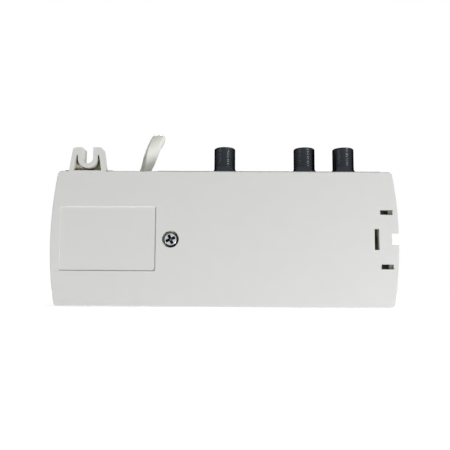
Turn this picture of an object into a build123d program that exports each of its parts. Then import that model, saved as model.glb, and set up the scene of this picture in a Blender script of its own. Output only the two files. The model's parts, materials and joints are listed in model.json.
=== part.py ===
from build123d import *
import math
import os

# TV signal amplifier: a flat two-part plastic housing with three screw-on
# aerial sockets and a mains lead on its long top edge, seen from the back.
#
# Frame, in millimetres: +X to the right and +Z up as seen from the back, -Y out
# of the back cover. The housing stands on its long bottom wall at Z = 0, and the
# origin is at the middle of that wall.

# Housing
CHORD = 142.9            # straight length of the long edges
END_BULGE = 2.45         # how far each arched end stands out
HEIGHT = 57.6            # bottom wall to top wall
DEPTH = 32.0             # back face to the crown of the front face
CORNER_R = 2.0           # corners of the outline
PLATE_T = 2.0            # back cover
WALL = 2.0               # front case
DRAFT_IN = 0.5           # how much the case draws in towards its front
CROWN = 1.5              # rise of the front face over its middle
FRONT_R = 1.7            # rounding round the front face
EDGE_R = 0.4             # rounding of the cover's outer edge
FIT = 0.15               # gap between moulded pieces that slide together
FIELD_T = 0.5            # raised field round the sockets
FIELD_LEFT = -29.0
FIELD_END = 4.45         # from the field's right end to the end of the long edge

# Back cover features
PANEL_IN, PANEL_DROP = 22.05, 0.25    # its middle, in from the left end and below mid height
PANEL_W, PANEL_H, PANEL_SINK = 40.8, 27.5, 0.55
SCREW_X, SCREW_DROP = -22.8, 0.5
RECESS_R, RECESS_DEPTH = 3.6, 2.4
COVER_BOSS_R, COVER_BOSS_H = 5.2, 3.0
LIP_T, LIP_H = 1.2, 2.5
NOTCH_W, NOTCH_DEEP = 5.2, 2.0        # round end's centre, in from the housing's right end
WINDOW_L, WINDOW_W = 5.2, 2.05
WINDOW_IN, WINDOW_DOWN, WINDOW_UP = 5.2, 11.7, 11.35
SIDE_WINDOW_IN, SIDE_WINDOW_DROP = 9.4, 0.15
SIDE_WINDOW_W, SIDE_WINDOW_H = 1.95, 8.9
POCKET_H, POCKET_DEEP = 11.0, 10.4
HOOK_T, HOOK_LENGTH, HOOK_NOSE = 1.5, 10.6, 1.3
HOOK_TAPER = 2.8         # length of a hook's nose
CATCH_DEPTH = 5.0        # faces of the catches, inside the seam

# Fixing lug on the top edge of the back cover
LUG_IN = 12.4            # its middle, in from the end of the long edge
LUG_BASE_W, LUG_TOP_W = 15.9, 12.7
LUG_RISE = 10.3
LUG_T = 5.0
LUG_LEG = 2.0
LUG_CORNER_R = 1.5
LUG_SLOT_W, LUG_SLOT_RISE = 4.6, 5.55
LUG_BAND_R, LUG_BAND_DEPTH = 4.25, 7.3
LUG_POCKET_DEPTH, LUG_POCKET_RISE = 4.2, 7.0
LUG_ROOT_W, LUG_ROOT_RISE = 20.5, 0.6

# Aerial sockets: 3/8 inch 32 thread
SOCKET_XS = {"input": -0.1, "output_1": 35.85, "output_2": 53.45}
SOCKET_DEPTH = 13.5      # socket axis behind the back face
THREAD_R = 4.7625
COLLAR_R, COLLAR_H, COLLAR_CONE = 5.3, 1.9, 1.2
SOCKET_RISE = 13.0       # tips above the top wall
TIP_CHAMFER = 0.4
NECK_R = 4.7
SOCKET_BLOCK_W, SOCKET_BLOCK_H = 11.0, 10.0
SOCKET_BORE_R = 3.3
CONTACT_R = 0.9

# Circuit board
BOARD_DEPTH = 21.0       # component face behind the back face
BOARD_T = 1.6
BOARD_IN_LEFT, BOARD_IN_RIGHT = 7.45, 11.45
BOARD_LOW, BOARD_UNDER = 4.0, 4.6      # its long edges, in from the housing's
HOLE_IN = 4.0
MIDDLE_HOLE_X, MIDDLE_HOLE_DROP = 26.0, 12.5
STANDOFF_R, PILOT_R = 3.0, 1.25
BOSS_R, BOSS_PILOT_R = 3.8, 1.5

# Cable entry
ENTRY_X = -37.4
CORD_W, CORD_T = 6.0, 3.6
CORD_LEAN = (0.24, 0.60, 1.00)
BUSH_W, BUSH_BACK, BUSH_FRONT = 9.2, 7.2, 6.0
BUSH_FLANGE, BUSH_FLANGE_T = 1.0, 1.1

CLAMP_DROP, CLAMP_HALF, CLAMP_T = 13.1, 9.0, 2.5
INNER_END_DROP, CORE_GAP, WIRE_FOOT_DROP = 18.1, 2.6, 23.0

# Cord laid up behind the housing
COIL_GAP = 5.0           # housing to coil
COIL_X = 20.0
COIL_R = 44.2            # first turn, from the middle of the coil
COIL_PITCH = 7.5
COIL_RISE = 7.8
COIL_HALF_TURNS = 5      # in each of the two layers
ARCH_RUN = 26.0
ARCH_STEPS = ((0.0, 22.0, 9.0), (-6.5, 24.0, -8.0), (-5.0, 14.5, -21.5), (0.5, 9.5, -27.0))
LAY_DOWN = (
    (-50.2, 27.9, 3.7),
    (-35.0, 48.0, 0.0),
    (-12.0, 60.0, 0.0),
    (17.0, 56.5, 0.0),
    (37.0, 37.0, 0.0),
    (COIL_R, 19.5, 0.0),
)
LEAVE_ANGLE = 155.0
LEAD_RUNS = ((22.0, 155.0, 0.0), (24.0, 145.0, -2.5), (22.0, 118.0, -2.65), (20.0, 90.0, 0.0))
TIE_T, TIE_GAP, TIE_W = 0.9, 0.3, 9.0
PLUG_W, PLUG_THICK, PLUG_LENGTH, NECK_L = 35.3, 13.7, 24.0, 12.0
PIN_R, PIN_LENGTH, PIN_SPACING = 2.0, 19.0, 18.6
SLEEVE_L, SLEEVE_T = 9.0, 0.35

# Small parts inside
SCREW_HEAD_R, SCREW_HEAD_H, SCREW_SHANK_R, SCREW_LENGTH = 2.95, 2.0, 1.4, 15.0
SCREEN_X, SCREEN_Z, SCREEN_W, SCREEN_H, SCREEN_TALL, SHEET_T = 23.0, 21.5, 56.0, 30.0, 9.5, 0.5
CORE_X, CORE_Z, CORE_LEG, CORE_H, CORE_STACK = -42.8, 18.8, 9.4, 23.5, 11.0
WINDING_TALL = 16.4
FUSE_X, FUSE_Z, FUSE_R, FUSE_L, FUSE_CAP_L = -52.0, 36.2, 2.6, 20.0, 5.0
REG_X, REG_Z = -12.5, 23.0
DIODE_X, DIODE_Z = -12.0, 29.8
CHIP_PLACES = ((5.0, 28.0), (5.0, 14.0))
CHOKE_PLACES = ((14.0, 30.0), (14.0, 22.0), (14.0, 13.0))
SPLIT_X, SPLIT_Z = 40.0, 26.0
CERAMIC_PLACES = ((24.0, 30.0), (24.0, 13.0), (34.0, 13.0), (44.0, 13.0))
RESISTOR_PLACES = ((-1.0, 21.5), (20.5, 15.5), (48.0, 18.0))
LAMP_X, LAMP_Z, LAMP_SUNK = -50.0, 14.0, 0.1

# Planes and levels worked out from the values above
BACK_Y = -DEPTH / 2
SEAM_Y = BACK_Y + PLATE_T
FRONT_Y = DEPTH / 2
CROWN_Y = FRONT_Y - CROWN
FRONT_INNER_Y = FRONT_Y - WALL
SOCKET_Y = BACK_Y + SOCKET_DEPTH
BOARD_Y = BACK_Y + BOARD_DEPTH
BOARD_BACK_Y = BOARD_Y + BOARD_T
TOP_INNER_Z = HEIGHT - WALL
FIELD_Z = HEIGHT + FIELD_T
RIGHT_X = CHORD / 2 + END_BULGE
FIELD_RIGHT = CHORD / 2 - FIELD_END
PANEL_X, PANEL_Z = PANEL_IN - CHORD / 2, HEIGHT / 2 - PANEL_DROP
SCREW_Z = HEIGHT / 2 - SCREW_DROP
NOTCH_X, NOTCH_Z = RIGHT_X - NOTCH_DEEP, HEIGHT / 2
WINDOW_X = RIGHT_X - WINDOW_IN
WINDOW_ZS = (HEIGHT / 2 - WINDOW_DOWN, HEIGHT / 2 + WINDOW_UP)
SIDE_WINDOW_X, SIDE_WINDOW_Z = RIGHT_X - SIDE_WINDOW_IN, HEIGHT / 2 - SIDE_WINDOW_DROP
POCKET_X = NOTCH_X - NOTCH_W / 2 - 1.8
POCKET_Y = BACK_Y + POCKET_DEEP
CATCH_T = HOOK_LENGTH - HOOK_TAPER - CATCH_DEPTH - FIT
LUG_X = LUG_IN - CHORD / 2
LUG_TOP_Z, LUG_SLOT_Z, LUG_POCKET_TOP = HEIGHT + LUG_RISE, HEIGHT + LUG_SLOT_RISE, HEIGHT + LUG_POCKET_RISE
LUG_ROOT_LEFT = END_BULGE - CHORD / 2
LUG_ROOT_RIGHT = LUG_ROOT_LEFT + LUG_ROOT_W
SOCKET_TIP_Z = HEIGHT + SOCKET_RISE
BOARD_LEFT, BOARD_RIGHT = BOARD_IN_LEFT - CHORD / 2, CHORD / 2 - BOARD_IN_RIGHT
BOARD_HIGH = HEIGHT - BOARD_UNDER
BOARD_HOLES = (
    (BOARD_LEFT + HOLE_IN, BOARD_LOW + HOLE_IN),
    (BOARD_LEFT + HOLE_IN, BOARD_HIGH - HOLE_IN),
    (BOARD_RIGHT - HOLE_IN, BOARD_LOW + HOLE_IN),
    (MIDDLE_HOLE_X, BOARD_HIGH - MIDDLE_HOLE_DROP),
)
CLAMP_Z, INNER_END_Z, WIRE_FOOT_Z = HEIGHT - CLAMP_DROP, HEIGHT - INNER_END_DROP, HEIGHT - WIRE_FOOT_DROP
LAMP_TOP_Y = FRONT_Y - LAMP_SUNK
CLAMP_Y = SOCKET_Y - CORD_T / 2 - 0.6
CORE_Y = BOARD_Y - 0.6 - WINDING_TALL / 2
FUSE_Y = BOARD_Y - 1.2 - FUSE_R
UNDER_TOP_Z = TOP_INNER_Z - DRAFT_IN
SOCKET_FLOOR_Z = TOP_INNER_Z - 8.0
CONTACT_FOOT_Z = UNDER_TOP_Z - SOCKET_BLOCK_H - 2.4
COIL_Y = FRONT_Y + COIL_GAP + COIL_R + CORD_W / 2
LEAN = Vector(*CORD_LEAN).normalized()
ENTRY = Vector(ENTRY_X, SOCKET_Y, HEIGHT - WALL / 2)
COIL_LOW_Z = TIE_T + TIE_GAP + CORD_W / 2
COIL_TOP_Z = COIL_LOW_Z + COIL_RISE


def facing_back(y):
    """Plane across the housing at y: sketch x is X, sketch y is Z, its normal points out of the back."""
    return Plane.XZ.offset(-y)


class ArcEndedOutline(BaseSketchObject):
    """Outline of the housing with straight long edges and arched ends, standing on its bottom edge."""

    def __init__(self, inset=0.0, draw_in=0.0, corner=CORNER_R, mode=Mode.ADD):
        half = CHORD / 2 - inset - draw_in
        low, high = inset, HEIGHT - inset - draw_in
        middle = (low + high) / 2
        with BuildSketch() as face:
            with BuildLine():
                Line((-half, low), (half, low))
                ThreePointArc((half, low), (half + END_BULGE, middle), (half, high))
                Line((half, high), (-half, high))
                ThreePointArc((-half, high), (-half - END_BULGE, middle), (-half, low))
            make_face()
            fillet(face.vertices(), corner)
        super().__init__(face.sketch, 0, None, mode)


class CaseBody(BasePartObject):
    """Drafted body with a crowned front, from the seam to the front face, drawn in by inset all round."""

    def __init__(self, inset=0.0, mode=Mode.ADD):
        front = FRONT_Y - inset
        crown = CROWN_Y - inset
        with BuildPart() as body:
            with BuildSketch(facing_back(SEAM_Y)):
                ArcEndedOutline(inset)
            with BuildSketch(facing_back(front)):
                ArcEndedOutline(inset, DRAFT_IN)
            loft(ruled=True)
            with BuildSketch(Plane.YZ):
                with BuildLine():
                    Polyline((crown, -1), (SEAM_Y, -1), (SEAM_Y, HEIGHT + 1), (crown, HEIGHT + 1))
                    ThreePointArc((crown, HEIGHT + 1), (front, HEIGHT / 2), (crown, -1))
                make_face()
            extrude(amount=CHORD, both=True, mode=Mode.INTERSECT)
            if inset == 0:
                fillet(body.faces().sort_by(Axis.Y)[-1].edges(), FRONT_R)
        super().__init__(body.part, mode=mode)


os.makedirs("parts", exist_ok=True)

# Back cover: plate with a sunk panel, screw recess, mould windows with snap
# hooks behind them, a notch at one end and a slotted lug on the top edge.
lug_slope = (LUG_BASE_W - LUG_TOP_W) / 2 / (LUG_TOP_Z - HEIGHT)
with BuildPart() as back_cover:
    with BuildSketch(facing_back(SEAM_Y)):
        ArcEndedOutline()
    extrude(amount=PLATE_T)
    fillet(back_cover.faces().sort_by(Axis.Y)[0].edges(), EDGE_R)

    # Sunk panel, its rim slightly rounded
    with BuildSketch(facing_back(BACK_Y)):
        with Locations((PANEL_X, PANEL_Z)):
            RectangleRounded(PANEL_W, PANEL_H, 0.8)
    extrude(amount=-PANEL_SINK, mode=Mode.SUBTRACT)

    # Locating lip that drops inside the case wall
    with BuildSketch(facing_back(SEAM_Y)):
        ArcEndedOutline(WALL + FIT)
        ArcEndedOutline(WALL + FIT + LIP_T, mode=Mode.SUBTRACT)
    extrude(amount=-LIP_H)
    with BuildSketch(facing_back(SEAM_Y)):
        with Locations((LUG_ROOT_LEFT - 1, HEIGHT)):
            Rectangle(LUG_ROOT_RIGHT - LUG_ROOT_LEFT + 2, 12, align=(Align.MIN, Align.CENTER))
        with Locations((ENTRY_X, HEIGHT)):
            Rectangle(BUSH_W + 4, 12)
        with Locations((RIGHT_X, NOTCH_Z)):
            Rectangle(2 * (RIGHT_X - POCKET_X) + 6, POCKET_H + 2 * WALL + 1)
    extrude(amount=-LIP_H, mode=Mode.SUBTRACT)

    # Tongues that close the socket slots of the case, each hollowed round its socket's neck
    for x in SOCKET_XS.values():
        with BuildSketch(Plane.XY.offset(TOP_INNER_Z)):
            with Locations((x, (SEAM_Y + SOCKET_Y) / 2)):
                Rectangle(2 * NECK_R, SOCKET_Y - SEAM_Y)
            with Locations((x, SOCKET_Y)):
                Circle(NECK_R + FIT, mode=Mode.SUBTRACT)
        extrude(amount=WALL + FIELD_T)
    with BuildSketch(Plane.XY.offset(TOP_INNER_Z)):
        with Locations((ENTRY_X, SEAM_Y)):
            Rectangle(BUSH_W, SOCKET_Y - BUSH_BACK - FIT - SEAM_Y, align=(Align.CENTER, Align.MIN))
    extrude(amount=WALL)

    # Boss behind the screw recess
    with BuildSketch(facing_back(SEAM_Y)):
        with Locations((SCREW_X, SCREW_Z)):
            Circle(COVER_BOSS_R)
    extrude(amount=-COVER_BOSS_H)

    # Lug: a tapered block with a deeper band round its slot, on a root let into the case wall
    with BuildSketch(facing_back(BACK_Y)) as lug_face:
        with BuildLine():
            Polyline(
                (LUG_X - LUG_BASE_W / 2, HEIGHT - EDGE_R - 0.2),
                (LUG_X - LUG_TOP_W / 2, LUG_TOP_Z),
                (LUG_X + LUG_TOP_W / 2, LUG_TOP_Z),
                (LUG_X + LUG_BASE_W / 2, HEIGHT - EDGE_R - 0.2),
                close=True,
            )
        make_face()
        fillet(lug_face.vertices().group_by(Axis.Y)[-1], LUG_CORNER_R)
    extrude(amount=-LUG_T)
    with BuildSketch(facing_back(BACK_Y + LUG_T)):
        with Locations((LUG_X, LUG_SLOT_Z)):
            Circle(LUG_BAND_R)
        with Locations((LUG_X, LUG_TOP_Z)):
            Rectangle(2 * LUG_BAND_R, LUG_TOP_Z - LUG_SLOT_Z, align=(Align.CENTER, Align.MAX))
    extrude(amount=-(LUG_BAND_DEPTH - LUG_T))
    with BuildSketch(facing_back(SEAM_Y)):
        with Locations((LUG_ROOT_LEFT, HEIGHT + LUG_ROOT_RISE)):
            Rectangle(LUG_ROOT_RIGHT - LUG_ROOT_LEFT, WALL + LUG_ROOT_RISE, align=(Align.MIN, Align.MAX))
    extrude(amount=-(LUG_BAND_DEPTH - PLATE_T))
    with BuildSketch(facing_back(BACK_Y)) as lug_cuts:
        with BuildLine():
            inner_low = LUG_BASE_W / 2 - LUG_LEG
            inner_high = inner_low - lug_slope * (LUG_POCKET_TOP - HEIGHT)
            Polyline(
                (LUG_X - inner_low, HEIGHT + 0.2),
                (LUG_X - inner_high, LUG_POCKET_TOP),
                (LUG_X + inner_high, LUG_POCKET_TOP),
                (LUG_X + inner_low, HEIGHT + 0.2),
                close=True,
            )
        make_face()
        with Locations((LUG_X, LUG_SLOT_Z)):
            Circle(LUG_BAND_R, mode=Mode.SUBTRACT)
            Rectangle(
                2 * LUG_BAND_R,
                LUG_TOP_Z - LUG_SLOT_Z,
                align=(Align.CENTER, Align.MIN),
                mode=Mode.SUBTRACT,
            )
    extrude(amount=-LUG_POCKET_DEPTH, mode=Mode.SUBTRACT)
    with BuildSketch(facing_back(BACK_Y)):
        with Locations((LUG_X, LUG_SLOT_Z)):
            Circle(LUG_SLOT_W / 2)
            Rectangle(LUG_SLOT_W, LUG_TOP_Z, align=(Align.CENTER, Align.MIN))
    extrude(amount=-LUG_BAND_DEPTH, mode=Mode.SUBTRACT)

    # Snap hooks, each beside the window that its nose lies under
    for z in WINDOW_ZS:
        side = 1 if z > HEIGHT / 2 else -1
        arm_z = z - side * (WINDOW_W / 2 + HOOK_T)
        with BuildSketch(Plane.YZ.offset(WINDOW_X - WINDOW_L / 2)):
            with BuildLine():
                Polyline(
                    (SEAM_Y - 0.1, arm_z),
                    (SEAM_Y + HOOK_LENGTH, arm_z),
                    (SEAM_Y + HOOK_LENGTH, arm_z + side * HOOK_T * 0.7),
                    (SEAM_Y + HOOK_LENGTH - 2.0, arm_z + side * (HOOK_T + HOOK_NOSE)),
                    (SEAM_Y + HOOK_LENGTH - 2.6, arm_z + side * (HOOK_T + HOOK_NOSE)),
                    (SEAM_Y + HOOK_LENGTH - HOOK_TAPER, arm_z + side * HOOK_T),
                    (SEAM_Y - 0.1, arm_z + side * HOOK_T),
                    close=True,
                )
            make_face()
        extrude(amount=WINDOW_L - 0.6)
    side_arm_x = SIDE_WINDOW_X - SIDE_WINDOW_W / 2 - HOOK_T
    with BuildSketch(Plane.XY.offset(SIDE_WINDOW_Z - SIDE_WINDOW_H / 2)):
        with BuildLine():
            Polyline(
                (side_arm_x, SEAM_Y - 0.1),
                (side_arm_x, SEAM_Y + HOOK_LENGTH),
                (side_arm_x + HOOK_T * 0.7, SEAM_Y + HOOK_LENGTH),
                (side_arm_x + HOOK_T + HOOK_NOSE, SEAM_Y + HOOK_LENGTH - 2.0),
                (side_arm_x + HOOK_T + HOOK_NOSE, SEAM_Y + HOOK_LENGTH - 2.6),
                (side_arm_x + HOOK_T, SEAM_Y + HOOK_LENGTH - HOOK_TAPER),
                (side_arm_x + HOOK_T, SEAM_Y - 0.1),
                close=True,
            )
        make_face()
    extrude(amount=SIDE_WINDOW_H)

    # Windows, notch and screw recess
    with BuildSketch(facing_back(BACK_Y)):
        with Locations(*[(WINDOW_X, z) for z in WINDOW_ZS]):
            Rectangle(WINDOW_L, WINDOW_W)
        with Locations((SIDE_WINDOW_X, SIDE_WINDOW_Z)):
            Rectangle(SIDE_WINDOW_W, SIDE_WINDOW_H)
        with Locations((NOTCH_X, NOTCH_Z)):
            Circle(NOTCH_W / 2)
            Rectangle(NOTCH_W, NOTCH_W, align=(Align.MIN, Align.CENTER))
    extrude(amount=-PLATE_T, mode=Mode.SUBTRACT)
    with Locations(facing_back(BACK_Y).location):
        with Locations((SCREW_X, SCREW_Z)):
            CounterBoreHole(BOSS_PILOT_R + 0.2, RECESS_R, RECESS_DEPTH, PLATE_T + COVER_BOSS_H)
back_cover.part.label = "back_cover"
export_step(back_cover.part, "parts/back_cover.step")

# Front case: drafted shell with a crowned front, open at the seam
with BuildPart() as front_case:
    CaseBody()
    # Raised field that the sockets stand in
    with BuildSketch(Plane.XY.offset(HEIGHT - 0.8)):
        with Locations((FIELD_LEFT, SEAM_Y)):
            Rectangle(
                FIELD_RIGHT - FIELD_LEFT,
                DEPTH - PLATE_T - CROWN - 2 * FRONT_R,
                align=(Align.MIN, Align.MIN),
            )
    extrude(amount=FIELD_T + 0.8)
    CaseBody(WALL, mode=Mode.SUBTRACT)

    # Pocket behind the notch: an open box in the end wall for the head of a wall screw
    with BuildSketch(facing_back(SEAM_Y)):
        with Locations((POCKET_X - WALL, NOTCH_Z)):
            Rectangle(RIGHT_X - 1.5 - POCKET_X + WALL, POCKET_H + 2 * WALL, align=(Align.MIN, Align.CENTER))
    extrude(amount=-(POCKET_Y + WALL - SEAM_Y))
    with BuildSketch(facing_back(SEAM_Y)):
        with Locations((POCKET_X, NOTCH_Z)):
            Rectangle(20, POCKET_H, align=(Align.MIN, Align.CENTER))
    extrude(amount=-(POCKET_Y - SEAM_Y), mode=Mode.SUBTRACT)
    # Ledge on the pocket's inner wall that the side hook catches
    with BuildSketch(facing_back(SEAM_Y + CATCH_DEPTH)):
        with Locations((POCKET_X - WALL, SIDE_WINDOW_Z)):
            Rectangle(1.2, SIDE_WINDOW_H - 1, align=(Align.MAX, Align.CENTER))
    extrude(amount=-CATCH_T)

    # Catch blocks on the end wall under the other two hooks
    for z in WINDOW_ZS:
        side = 1 if z > HEIGHT / 2 else -1
        with BuildSketch(facing_back(SEAM_Y + CATCH_DEPTH)):
            with Locations((WINDOW_X - WINDOW_L / 2, z + side * 0.3)):
                Rectangle(
                    WINDOW_L + 2.5,
                    WINDOW_W + 0.4,
                    align=(Align.MIN, Align.CENTER),
                )
        extrude(amount=-CATCH_T)

    # Screw boss with four ribs, and standoffs for the board
    with BuildSketch(facing_back(FRONT_INNER_Y)):
        with Locations((SCREW_X, SCREW_Z)):
            Circle(BOSS_R)
    extrude(amount=FRONT_INNER_Y - SEAM_Y - COVER_BOSS_H - FIT)
    with BuildSketch(facing_back(FRONT_INNER_Y)):
        with Locations((SCREW_X, SCREW_Z)):
            Rectangle(2 * BOSS_R + 8, 1.2)
            Rectangle(1.2, 2 * BOSS_R + 8)
    extrude(amount=FRONT_INNER_Y - BOARD_BACK_Y - 1)
    with BuildSketch(facing_back(FRONT_INNER_Y)):
        with Locations(*BOARD_HOLES):
            Circle(STANDOFF_R)
    extrude(amount=FRONT_INNER_Y - BOARD_BACK_Y)

    # Posts and saddle of the cord clamp
    with BuildSketch(facing_back(FRONT_INNER_Y)):
        with Locations((ENTRY_X - CLAMP_HALF, CLAMP_Z), (ENTRY_X + CLAMP_HALF, CLAMP_Z)):
            Circle(STANDOFF_R)
    extrude(amount=FRONT_INNER_Y - CLAMP_Y)
    with BuildSketch(facing_back(FRONT_INNER_Y)):
        with Locations((ENTRY_X, CLAMP_Z)):
            Rectangle(2 * CLAMP_HALF, 2.4)
    extrude(amount=FRONT_INNER_Y - SOCKET_Y - CORD_T / 2)

    # Join the feet of all posts to the crowned wall
    with BuildSketch(facing_back(FRONT_Y - WALL / 2)):
        with Locations((SCREW_X, SCREW_Z)):
            Circle(BOSS_R)
        with Locations(*BOARD_HOLES):
            Circle(STANDOFF_R)
        with Locations((ENTRY_X - CLAMP_HALF, CLAMP_Z), (ENTRY_X + CLAMP_HALF, CLAMP_Z)):
            Circle(STANDOFF_R)
        with Locations((ENTRY_X, CLAMP_Z)):
            Rectangle(2 * CLAMP_HALF, 2.4)
    extrude(amount=WALL)

    # Pilot holes
    with Locations(facing_back(SEAM_Y + COVER_BOSS_H).location):
        with Locations((SCREW_X, SCREW_Z)):
            Hole(BOSS_PILOT_R, 15)
    with Locations(facing_back(BOARD_BACK_Y).location):
        with Locations(*BOARD_HOLES):
            Hole(PILOT_R, 6)
    with Locations(facing_back(CLAMP_Y).location):
        with Locations((ENTRY_X - CLAMP_HALF, CLAMP_Z), (ENTRY_X + CLAMP_HALF, CLAMP_Z)):
            Hole(PILOT_R, 9)

    # Slots in the top wall, open at the seam, for the sockets, the cord bush and the lug's root
    for x in SOCKET_XS.values():
        with BuildSketch(Plane.XY.offset(TOP_INNER_Z - 1)):
            with Locations((x, SEAM_Y)):
                Rectangle(
                    2 * (NECK_R + FIT),
                    SOCKET_Y - SEAM_Y,
                    align=(Align.CENTER, Align.MIN),
                )
            with Locations((x, SOCKET_Y)):
                Circle(NECK_R + FIT)
        extrude(amount=WALL + FIELD_T + 1.5, mode=Mode.SUBTRACT)
    with BuildSketch(Plane.XY.offset(TOP_INNER_Z - 1)):
        with Locations((ENTRY_X, SEAM_Y)):
            Rectangle(
                BUSH_W + 2 * FIT,
                SOCKET_Y + BUSH_FRONT + FIT - SEAM_Y,
                align=(Align.CENTER, Align.MIN),
            )
        with Locations((LUG_ROOT_LEFT - FIT, SEAM_Y)):
            Rectangle(
                LUG_ROOT_RIGHT - LUG_ROOT_LEFT + 2 * FIT,
                LUG_BAND_DEPTH - PLATE_T + FIT,
                align=(Align.MIN, Align.MIN),
            )
    extrude(amount=WALL + 1.5, mode=Mode.SUBTRACT)

    # Hole for the power lamp
    with BuildSketch(facing_back(FRONT_Y + 1)):
        with Locations((LAMP_X, LAMP_Z)):
            Circle(1.6)
    extrude(amount=6, mode=Mode.SUBTRACT)
front_case.part.label = "front_case"
export_step(front_case.part, "parts/front_case.step")


# Fixing screw of the cover, with a crossed recess
with BuildPart() as cover_screw:
    with BuildSketch(facing_back(BACK_Y + RECESS_DEPTH)):
        with Locations((SCREW_X, SCREW_Z)):
            Circle(SCREW_HEAD_R)
    extrude(amount=SCREW_HEAD_H)
    fillet(cover_screw.faces().sort_by(Axis.Y)[0].edges(), 0.7)
    with BuildSketch(facing_back(BACK_Y + RECESS_DEPTH)):
        with Locations((SCREW_X, SCREW_Z)):
            Circle(SCREW_SHANK_R)
    extrude(amount=-SCREW_LENGTH)
    chamfer(cover_screw.faces().sort_by(Axis.Y)[-1].edges(), 0.9)
    with BuildSketch(facing_back(BACK_Y + RECESS_DEPTH - SCREW_HEAD_H)):
        with Locations(Location((SCREW_X, SCREW_Z), 25)):
            Rectangle(3.2, 0.75)
            Rectangle(0.75, 3.2)
            Circle(0.75)
    extrude(amount=-1.3, mode=Mode.SUBTRACT)
cover_screw.part.label = "cover_screw"
export_step(cover_screw.part, "parts/cover_screw.step")

# Circuit board, cut away round the screw boss and the cord clamp
with BuildPart() as circuit_board:
    with BuildSketch(facing_back(BOARD_BACK_Y)) as board_face:
        with Locations((BOARD_LEFT, BOARD_LOW)):
            Rectangle(BOARD_RIGHT - BOARD_LEFT, BOARD_HIGH - BOARD_LOW, align=(Align.MIN, Align.MIN))
        fillet(board_face.vertices(), 1.5)
        with Locations((ENTRY_X, BOARD_HIGH)):
            Rectangle(2 * CLAMP_HALF + 9, 2 * (BOARD_HIGH - CLAMP_Z + 4.5), mode=Mode.SUBTRACT)
        with Locations((SCREW_X, SCREW_Z)):
            Circle(BOSS_R + 0.6, mode=Mode.SUBTRACT)
        with Locations(*BOARD_HOLES):
            Circle(1.6, mode=Mode.SUBTRACT)
    extrude(amount=BOARD_T)
circuit_board.part.label = "circuit_board"
export_step(circuit_board.part, "parts/circuit_board.step")

# Four pan head screws that hold the board
with BuildPart() as board_screws:
    with BuildSketch(facing_back(BOARD_Y)):
        with Locations(*BOARD_HOLES):
            Circle(2.6)
    extrude(amount=1.7)
    fillet(board_screws.faces().group_by(Axis.Y)[0].edges(), 0.6)
    with BuildSketch(facing_back(BOARD_Y)):
        with Locations(*BOARD_HOLES):
            Circle(PILOT_R - 0.1)
    extrude(amount=-(BOARD_T + 5.0))
    with BuildSketch(facing_back(BOARD_Y - 1.7)):
        with Locations(*BOARD_HOLES):
            Rectangle(2.4, 0.6)
            Rectangle(0.6, 2.4)
    extrude(amount=-0.9, mode=Mode.SUBTRACT)
board_screws.part.label = "board_screws"
export_step(board_screws.part, "parts/board_screws.step")

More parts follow.
